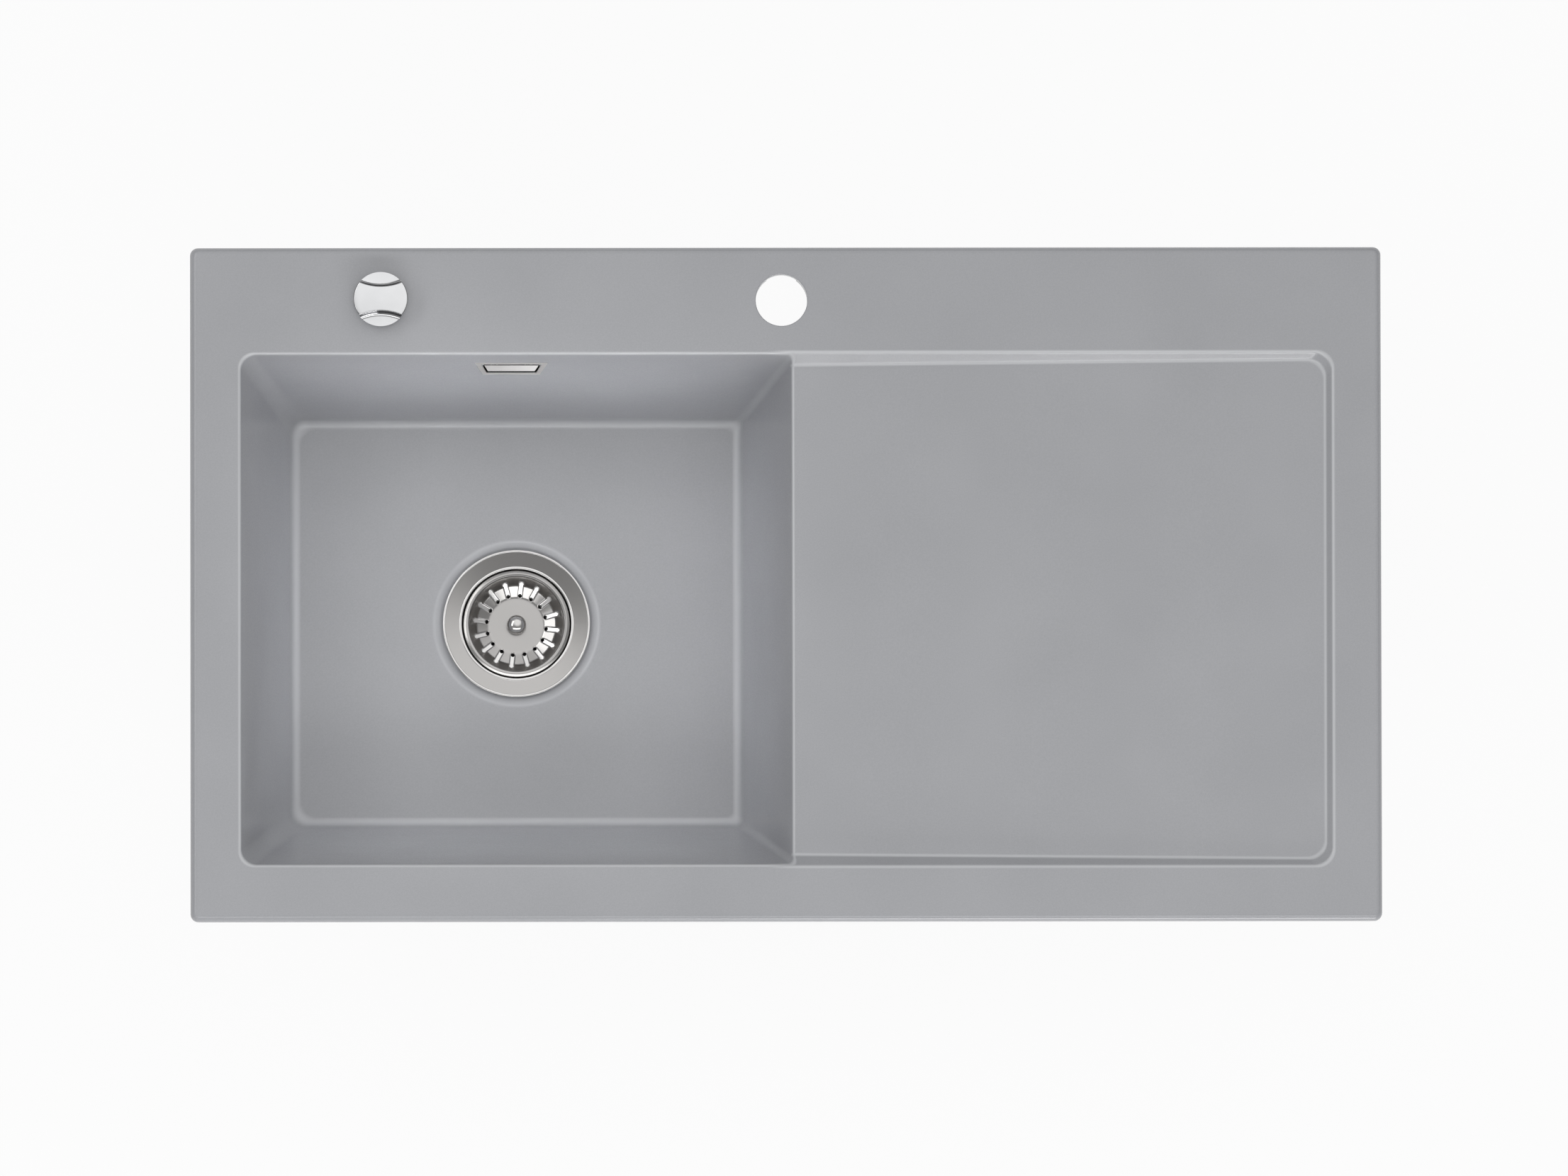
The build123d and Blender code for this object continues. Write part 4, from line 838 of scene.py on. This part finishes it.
def routed_mesh(name, route, resolution, radius=0.0):
    """Mesh of a smooth line that has a route as its control points, or of a tube round that line."""
    curve = bpy.data.curves.new(name, "CURVE")
    curve.dimensions = "3D"
    curve.resolution_u = resolution
    curve.bevel_depth = radius * MM
    curve.bevel_resolution = 6
    curve.use_fill_caps = True
    spline = curve.splines.new("NURBS")
    spline.points.add(len(route) - 1)
    for point, place_on in zip(spline.points, route):
        point.co = (*(Vector(place_on) * MM), 1)
    spline.order_u = 3
    spline.use_endpoint_u = True
    holder = bpy.data.objects.new(name, curve)
    scene.collection.objects.link(holder)
    mesh = bpy.data.meshes.new_from_object(holder)
    bpy.data.objects.remove(holder)
    return mesh


def along(line, distance):
    """Point and heading at a distance along a line of points."""
    for start, end in zip(line, line[1:]):
        step = (end - start).length
        if distance <= step or end is line[-1]:
            return start + (end - start) * (distance / step), (end - start).normalized()
        distance -= step


hose_line = [vertex.co / MM for vertex in routed_mesh("hose_line", hose_route, 40).vertices]
hose_length = sum((end - start).length for start, end in zip(hose_line, hose_line[1:]))
rib_count = round((hose_length - 2 * hose_cuff) / rib_pitch)
rib_step = (hose_length - 2 * hose_cuff) / rib_count
hose_profile = [(0.0, rib_radius)]
for k in range(rib_count * rib_steps + 1):
    wave = 0.5 + 0.5 * math.cos(2 * math.pi * k / rib_steps)
    hose_profile.append((hose_cuff + k * rib_step / rib_steps, rib_radius - rib_depth * (1 - wave**0.6)))
hose_profile.append((hose_length, rib_radius))
points = []
side = Vector((1, 0, 0))
for distance, radius in hose_profile:
    middle, heading = along(hose_line, distance)
    lift = heading.cross(side)
    for k in range(hose_sides):
        turn = 2 * math.pi * k / hose_sides
        points.append(middle + radius * (math.cos(turn) * side + math.sin(turn) * lift))
hose = new_piece("ribbed_hose", points, loop_faces(len(hose_profile), hose_sides), 60)
hose_plastic = moulded("hose_plastic", (0.55, 0.56, 0.57), (0.62, 0.63, 0.64), (0.34, 0.46), 700.0, 0.04)
hose.data.materials.append(hose_plastic)
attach(hose, "sink")
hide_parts("overflow_hose")

# Control cable: a wire in a black plastic sheath, from the case under the ledge down behind the bowl to the
# elbow under the waste. Turned brass ferrules hold its ends.
cable_route = (
    (-230.8, 12.0, -314.0),
    (-298.2, 85.8, -314.0),
    (-406.0, 204.0, -314.0),
    (-406.0, 204.0, -154.0),
    (-406.0, 204.0, -125.0),
    (-406.0, 204.0, -35.15),
    (-335.0, 204.0, -35.15),
)
sheath_radius = 3.0
sheath_mesh = routed_mesh("control_cable_sheath", cable_route, 24, sheath_radius)
sheath_mesh.shade_smooth()
coat(sheath_mesh, black_moulding)
sheath = bpy.data.objects.new("control_cable_sheath", sheath_mesh)
scene.collection.objects.link(sheath)
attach(sheath, "sink")
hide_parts("cable_sheath")
turned_brass = turned_steel("turned_brass", (0.66, 0.47, 0.17), (0.76, 0.57, 0.25), (0.2, 0.32), 1500.0, 0.2)
dress(turned_brass, "ferrule_lower", "ferrule_upper", "drive_pinion")

# Control knob and its rosette: cast zinc, ground and chromed. A grub screw in the rear holds the knob to its
# spindle. Two round scoops, at the front and the rear, leave a waisted grip across the knob's whole width.
knob_low, knob_high = (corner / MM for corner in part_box("control_knob"))
knob_radius = (knob_high.x - knob_low.x) / 2
knob_round, knob_crown, knob_foot, round_sweep = 0.9, 0.4, 0.4, math.radians(87)
knob_outline = [(0, knob_low.z), (knob_radius - knob_foot, knob_low.z), (knob_radius, knob_low.z + knob_foot)]
for turn in even_steps(8, round_sweep):
    inset = knob_round * (1 - math.cos(turn))
    knob_outline.append((knob_radius - inset, knob_high.z - knob_crown - knob_round * (1 - math.sin(turn))))
for share in even_steps(8, 1.0)[-2::-1]:
    knob_outline.append(((knob_radius - knob_round) * share, knob_high.z - knob_crown * share**2))
knob = turned_piece("scooped_knob", knob_outline, control, 240)
grip_waist, scoop_sweep, scoop_floor = 9.7, 40.0, knob_high.z - 8.0
scoop_foot, scoop_lean, scoop_brow, foot_sweep = 3.6, 0.5, 0.7, math.radians(80)
brow_dip, grub_play, bore_radius = 0.05, 0.1, 4.1
brow_z = knob_high.z - knob_crown - brow_dip
scoop_outline = [(0, scoop_floor)]
for turn in even_steps(12, foot_sweep):
    reach = scoop_sweep - scoop_foot * (1 - math.sin(turn))
    scoop_outline.append((reach, scoop_floor + scoop_foot * (1 - math.cos(turn))))
for turn in even_steps(8):
    reach = scoop_sweep + scoop_lean + scoop_brow * (1 - math.cos(turn))
    scoop_outline.append((reach, brow_z - scoop_brow * (1 - math.sin(turn))))
scoop_outline += [(scoop_sweep + scoop_lean + scoop_brow, knob_high.z + excess), (0, knob_high.z + excess)]
spindle_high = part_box("knob_spindle")[1] / MM
grub_box = [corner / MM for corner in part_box("grub_screw")]
grub_radius = (grub_box[1].z - grub_box[0].z) / 2 + grub_play
bore_outline = drilled(bore_radius, knob_low.z - excess, spindle_high.z)
grub_outline = drilled(grub_radius, 0, knob_radius + excess)
grub_hole = turned_piece("grub_hole_cutter", grub_outline, (0, 0), 32)
grub_hole.matrix_world = Matrix.Translation(
    Vector((control.x, control.y, (grub_box[0].z + grub_box[1].z) / 2)) * MM
) @ Matrix.Rotation(-math.pi / 2, 4, "X")
scoop_centre = grip_waist + scoop_sweep
cutters = [
    turned_piece("front_scoop_cutter", scoop_outline, (control.x, control.y - scoop_centre), 480),
    turned_piece("rear_scoop_cutter", scoop_outline, (control.x, control.y + scoop_centre), 480),
    turned_piece("bore_cutter", bore_outline, control, 48),
    grub_hole,
]
knob_mesh = cut_away(knob, cutters, 30)

# The walls of the scoops and the round of the edge are painted dark: painted shade in the knob's recesses.
edge_width, shade_depth, shade_start, shade_end = 0.04, 0.02, 0.5, 0.97
painted_recess_shade = []
for vertex in knob_mesh.vertices:
    reach = math.hypot(vertex.co.x / MM - control.x, vertex.co.y / MM - control.y)
    crown_z = knob_high.z - knob_crown * (reach / (knob_radius - knob_round)) ** 2
    painted_shade = reach < knob_radius - edge_width and vertex.co.z / MM < crown_z - shade_depth
    painted_recess_shade.append(1 - smooth_step(vertex.normal.z, shade_start, shade_end) if painted_shade else 0.0)
knob_mesh.attributes.new("painted_recess_shade", "FLOAT", "POINT").data.foreach_set("value", painted_recess_shade)
chrome, tree, shader = new_material("satin_chrome", Metallic=1.0)
grain = place(tree, "Group", {"Grain": 300.0, "Mottle": 60.0}, node_tree=grain_group).outputs
mask = value_between(tree, grain["Mottle"], 0, 1)
bright = tone_between(tree, mask, (0.70, 0.705, 0.715), (0.75, 0.755, 0.765))
painted_shade = place(tree, "Attribute", attribute_name="painted_recess_shade").outputs["Fac"]
# Painted shade: the chrome goes dark on the scoop walls and the round of the edge.
tree.links.new(tone_between(tree, painted_shade, bright, (0.1, 0.1, 0.105)), shader["Base Color"])
tree.links.new(value_between(tree, grain["Mottle"], 0.10, 0.16), shader["Roughness"])
coat(knob_mesh, chrome)
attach(knob, "knob")
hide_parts("control_knob")
dress(chrome, "control_shank")

# Stage: a plain white floor of paper just below the part, which keeps a faint shadow. From below it is clear,
# so that the underside can be looked at.
floor_gap, floor_reach, paper_glow = 0.004, 40.0, 0.93
floor_level = cad_box[0].z - floor_gap
floor_mesh = bpy.data.meshes.new("floor")
floor_sides = ((-1, -1), (1, -1), (1, 1), (-1, 1))
floor_corners = [(x * floor_reach, y * floor_reach, floor_level) for x, y in floor_sides]
floor_mesh.from_pydata(floor_corners, [], [(0, 1, 2, 3)])
floor = bpy.data.objects.new("floor", floor_mesh)
scene.collection.objects.link(floor)
paper = bpy.data.materials.new("white_paper")
paper.use_nodes = True
tree = paper.node_tree
tree.nodes.clear()
rays = place(tree, "LightPath").outputs
mirrored = reckon(tree, "MAXIMUM", rays["Is Glossy Ray"], rays["Is Transmission Ray"])
share = reckon(tree, "MULTIPLY", reckon(tree, "MAXIMUM", rays["Is Camera Ray"], mirrored), paper_glow)
matt = place(tree, "BsdfDiffuse", {"Color": (0.85, 0.85, 0.85, 1)})
glow = place(tree, "Emission", {"Color": (1, 1, 1, 1), "Strength": 1.0})
mix = place(tree, "MixShader", {"Fac": share, "Shader": matt.outputs[0], "Shader_001": glow.outputs[0]})
clear = place(tree, "BsdfTransparent", {"Color": (1, 1, 1, 1)})
below = place(tree, "NewGeometry").outputs["Backfacing"]
sides = {"Fac": below, "Shader": mix.outputs[0], "Shader_001": clear.outputs[0]}
place(tree, "OutputMaterial", {"Surface": place(tree, "MixShader", sides).outputs[0]})
floor_mesh.materials.append(paper)

# Light: a white ceiling that dims towards the walls of the studio, and strip lamps on four sides that draw a
# line along every edge. The walls themselves are seen as white as the floor, and mirrored so low down.
ceiling_way, wall_white = Vector((0.12, 0.33, 0.93)).normalized(), 0.97
world = bpy.data.worlds.new("studio")
scene.world = world
world.use_nodes = True
tree = world.node_tree
outward = place(tree, "TexCoord").outputs["Generated"]
facing = reckon_vectors(tree, "DOT_PRODUCT", outward, ceiling_way, "Value")
limits = {"Value": facing, "From Min": 0.78, "From Max": 0.97, "To Min": 0.30, "To Max": 1.08}
fall = place(tree, "MapRange", limits, interpolation_type="SMOOTHSTEP").outputs["Result"]
rays = place(tree, "LightPath").outputs
height = place(tree, "SeparateXYZ", {"Vector": outward}).outputs["Z"]
low = place(tree, "MapRange", {"Value": height, "From Min": 0.12, "From Max": 0.04}).outputs["Result"]
mirrored = reckon(tree, "MAXIMUM", rays["Is Glossy Ray"], rays["Is Transmission Ray"])
seen = reckon(tree, "MAXIMUM", rays["Is Camera Ray"], reckon(tree, "MULTIPLY", mirrored, low))
strength = reckon(tree, "MAXIMUM", reckon(tree, "MULTIPLY", seen, wall_white), fall)
tree.links.new(strength, tree.nodes["Background"].inputs["Strength"])
tree.nodes["Background"].inputs["Color"].default_value = (1, 1, 1, 1)
lamps = (
    ("front_strip", (-0.05, -1.6, 2.05), 3.2, 0.6, 14.0),
    ("left_strip", (-1.6, 0.5, 2.05), 1.9, 0.6, 8.0),
    ("rear_strip", (0, 2.1, 1.5), 1.3, 0.2, 1.5),
    ("right_strip", (2.1, 0, 1.5), 0.8, 0.2, 1.2),
    ("low_front", (0.45, -2.4, 0.45), 1.1, 0.8, 14.0),
)


def hang_lamp(name, stand, way, length, width, power):
    """Hang a rectangular lamp at its stand, where it shines against a way."""
    light = bpy.data.lights.new(name, "AREA")
    light.shape = "RECTANGLE"
    light.size = length
    light.size_y = width
    light.energy = power
    lamp = bpy.data.objects.new(name, light)
    scene.collection.objects.link(lamp)
    lamp.location = stand
    lamp.rotation_euler = Vector(way).to_track_quat("Z", "Y").to_euler()
    return lamp


for name, stand, length, width, power in lamps:
    hang_lamp(name, stand, stand, length, width, power)

# Gridded lamps above the bowl: one lights its floor, and four light its walls, each from over the wall
# across. Their beams are narrow, and metal does not mirror them.
bowl_length, bowl_width = (bowl_right - bowl_left) * MM, (bowl_rear - bowl_front) * MM
bowl_middle = Vector(((bowl_left + bowl_right) / 2, (bowl_front + bowl_rear) / 2, floor_z)) * MM
beams = (
    ("floor_beam", (0, 0, 0), (0, 0, 1), bowl_length - 0.13, bowl_width - 0.08, 0.031),
    ("rear_beam", (0, 0.178, 0.115), (0, -0.88, 0.47), bowl_length - 0.09, 0.03, 0.042),
    ("front_beam", (0, -0.173, 0.08), (0, 0.88, 0.47), bowl_length - 0.09, 0.03, 0.02),
    ("left_beam", (-0.18, 0, 0.04), (0.88, 0, 0.47), bowl_width - 0.09, 0.03, 0.022),
    ("right_beam", (0.18, 0, 0.04), (-0.88, 0, 0.47), bowl_width - 0.09, 0.03, 0.018),
)
beam_distance, beam_spread = 0.65, math.radians(22)
for name, spot, way, length, width, power in beams:
    stand = bowl_middle + Vector(spot) + beam_distance * Vector(way)
    beam = hang_lamp(name, stand, way, length, width, power)
    beam.data.spread = beam_spread
    beam.visible_glossy = False

# Camera: far above the middle of the sink and a little towards the front and the left, with a long lens,
# as the photograph was taken.
camera_distance, frame_width = 30.0, 1.1846
front_tilt, side_tilt, camera_roll = math.radians(3.34), math.radians(0.72), math.radians(-0.06)
camera_data = bpy.data.cameras.new("camera")
camera_data.sensor_width = 36.0
camera_data.lens = camera_data.sensor_width * camera_distance / frame_width
camera_data.clip_end = 200.0
camera = bpy.data.objects.new("camera", camera_data)
scene.collection.objects.link(camera)
aim = Vector((-0.0015, -0.0030, rim_z * MM))
away = Vector((-math.tan(side_tilt), -math.tan(front_tilt), 1)).normalized()
camera.location = aim + camera_distance * away
upward = away.cross(Vector((1, 0, 0))).normalized()
look = Matrix((upward.cross(away), upward, away)).transposed().to_4x4()
camera.rotation_euler = (look @ Matrix.Rotation(camera_roll, 4, "Z")).to_euler()
scene.camera = camera
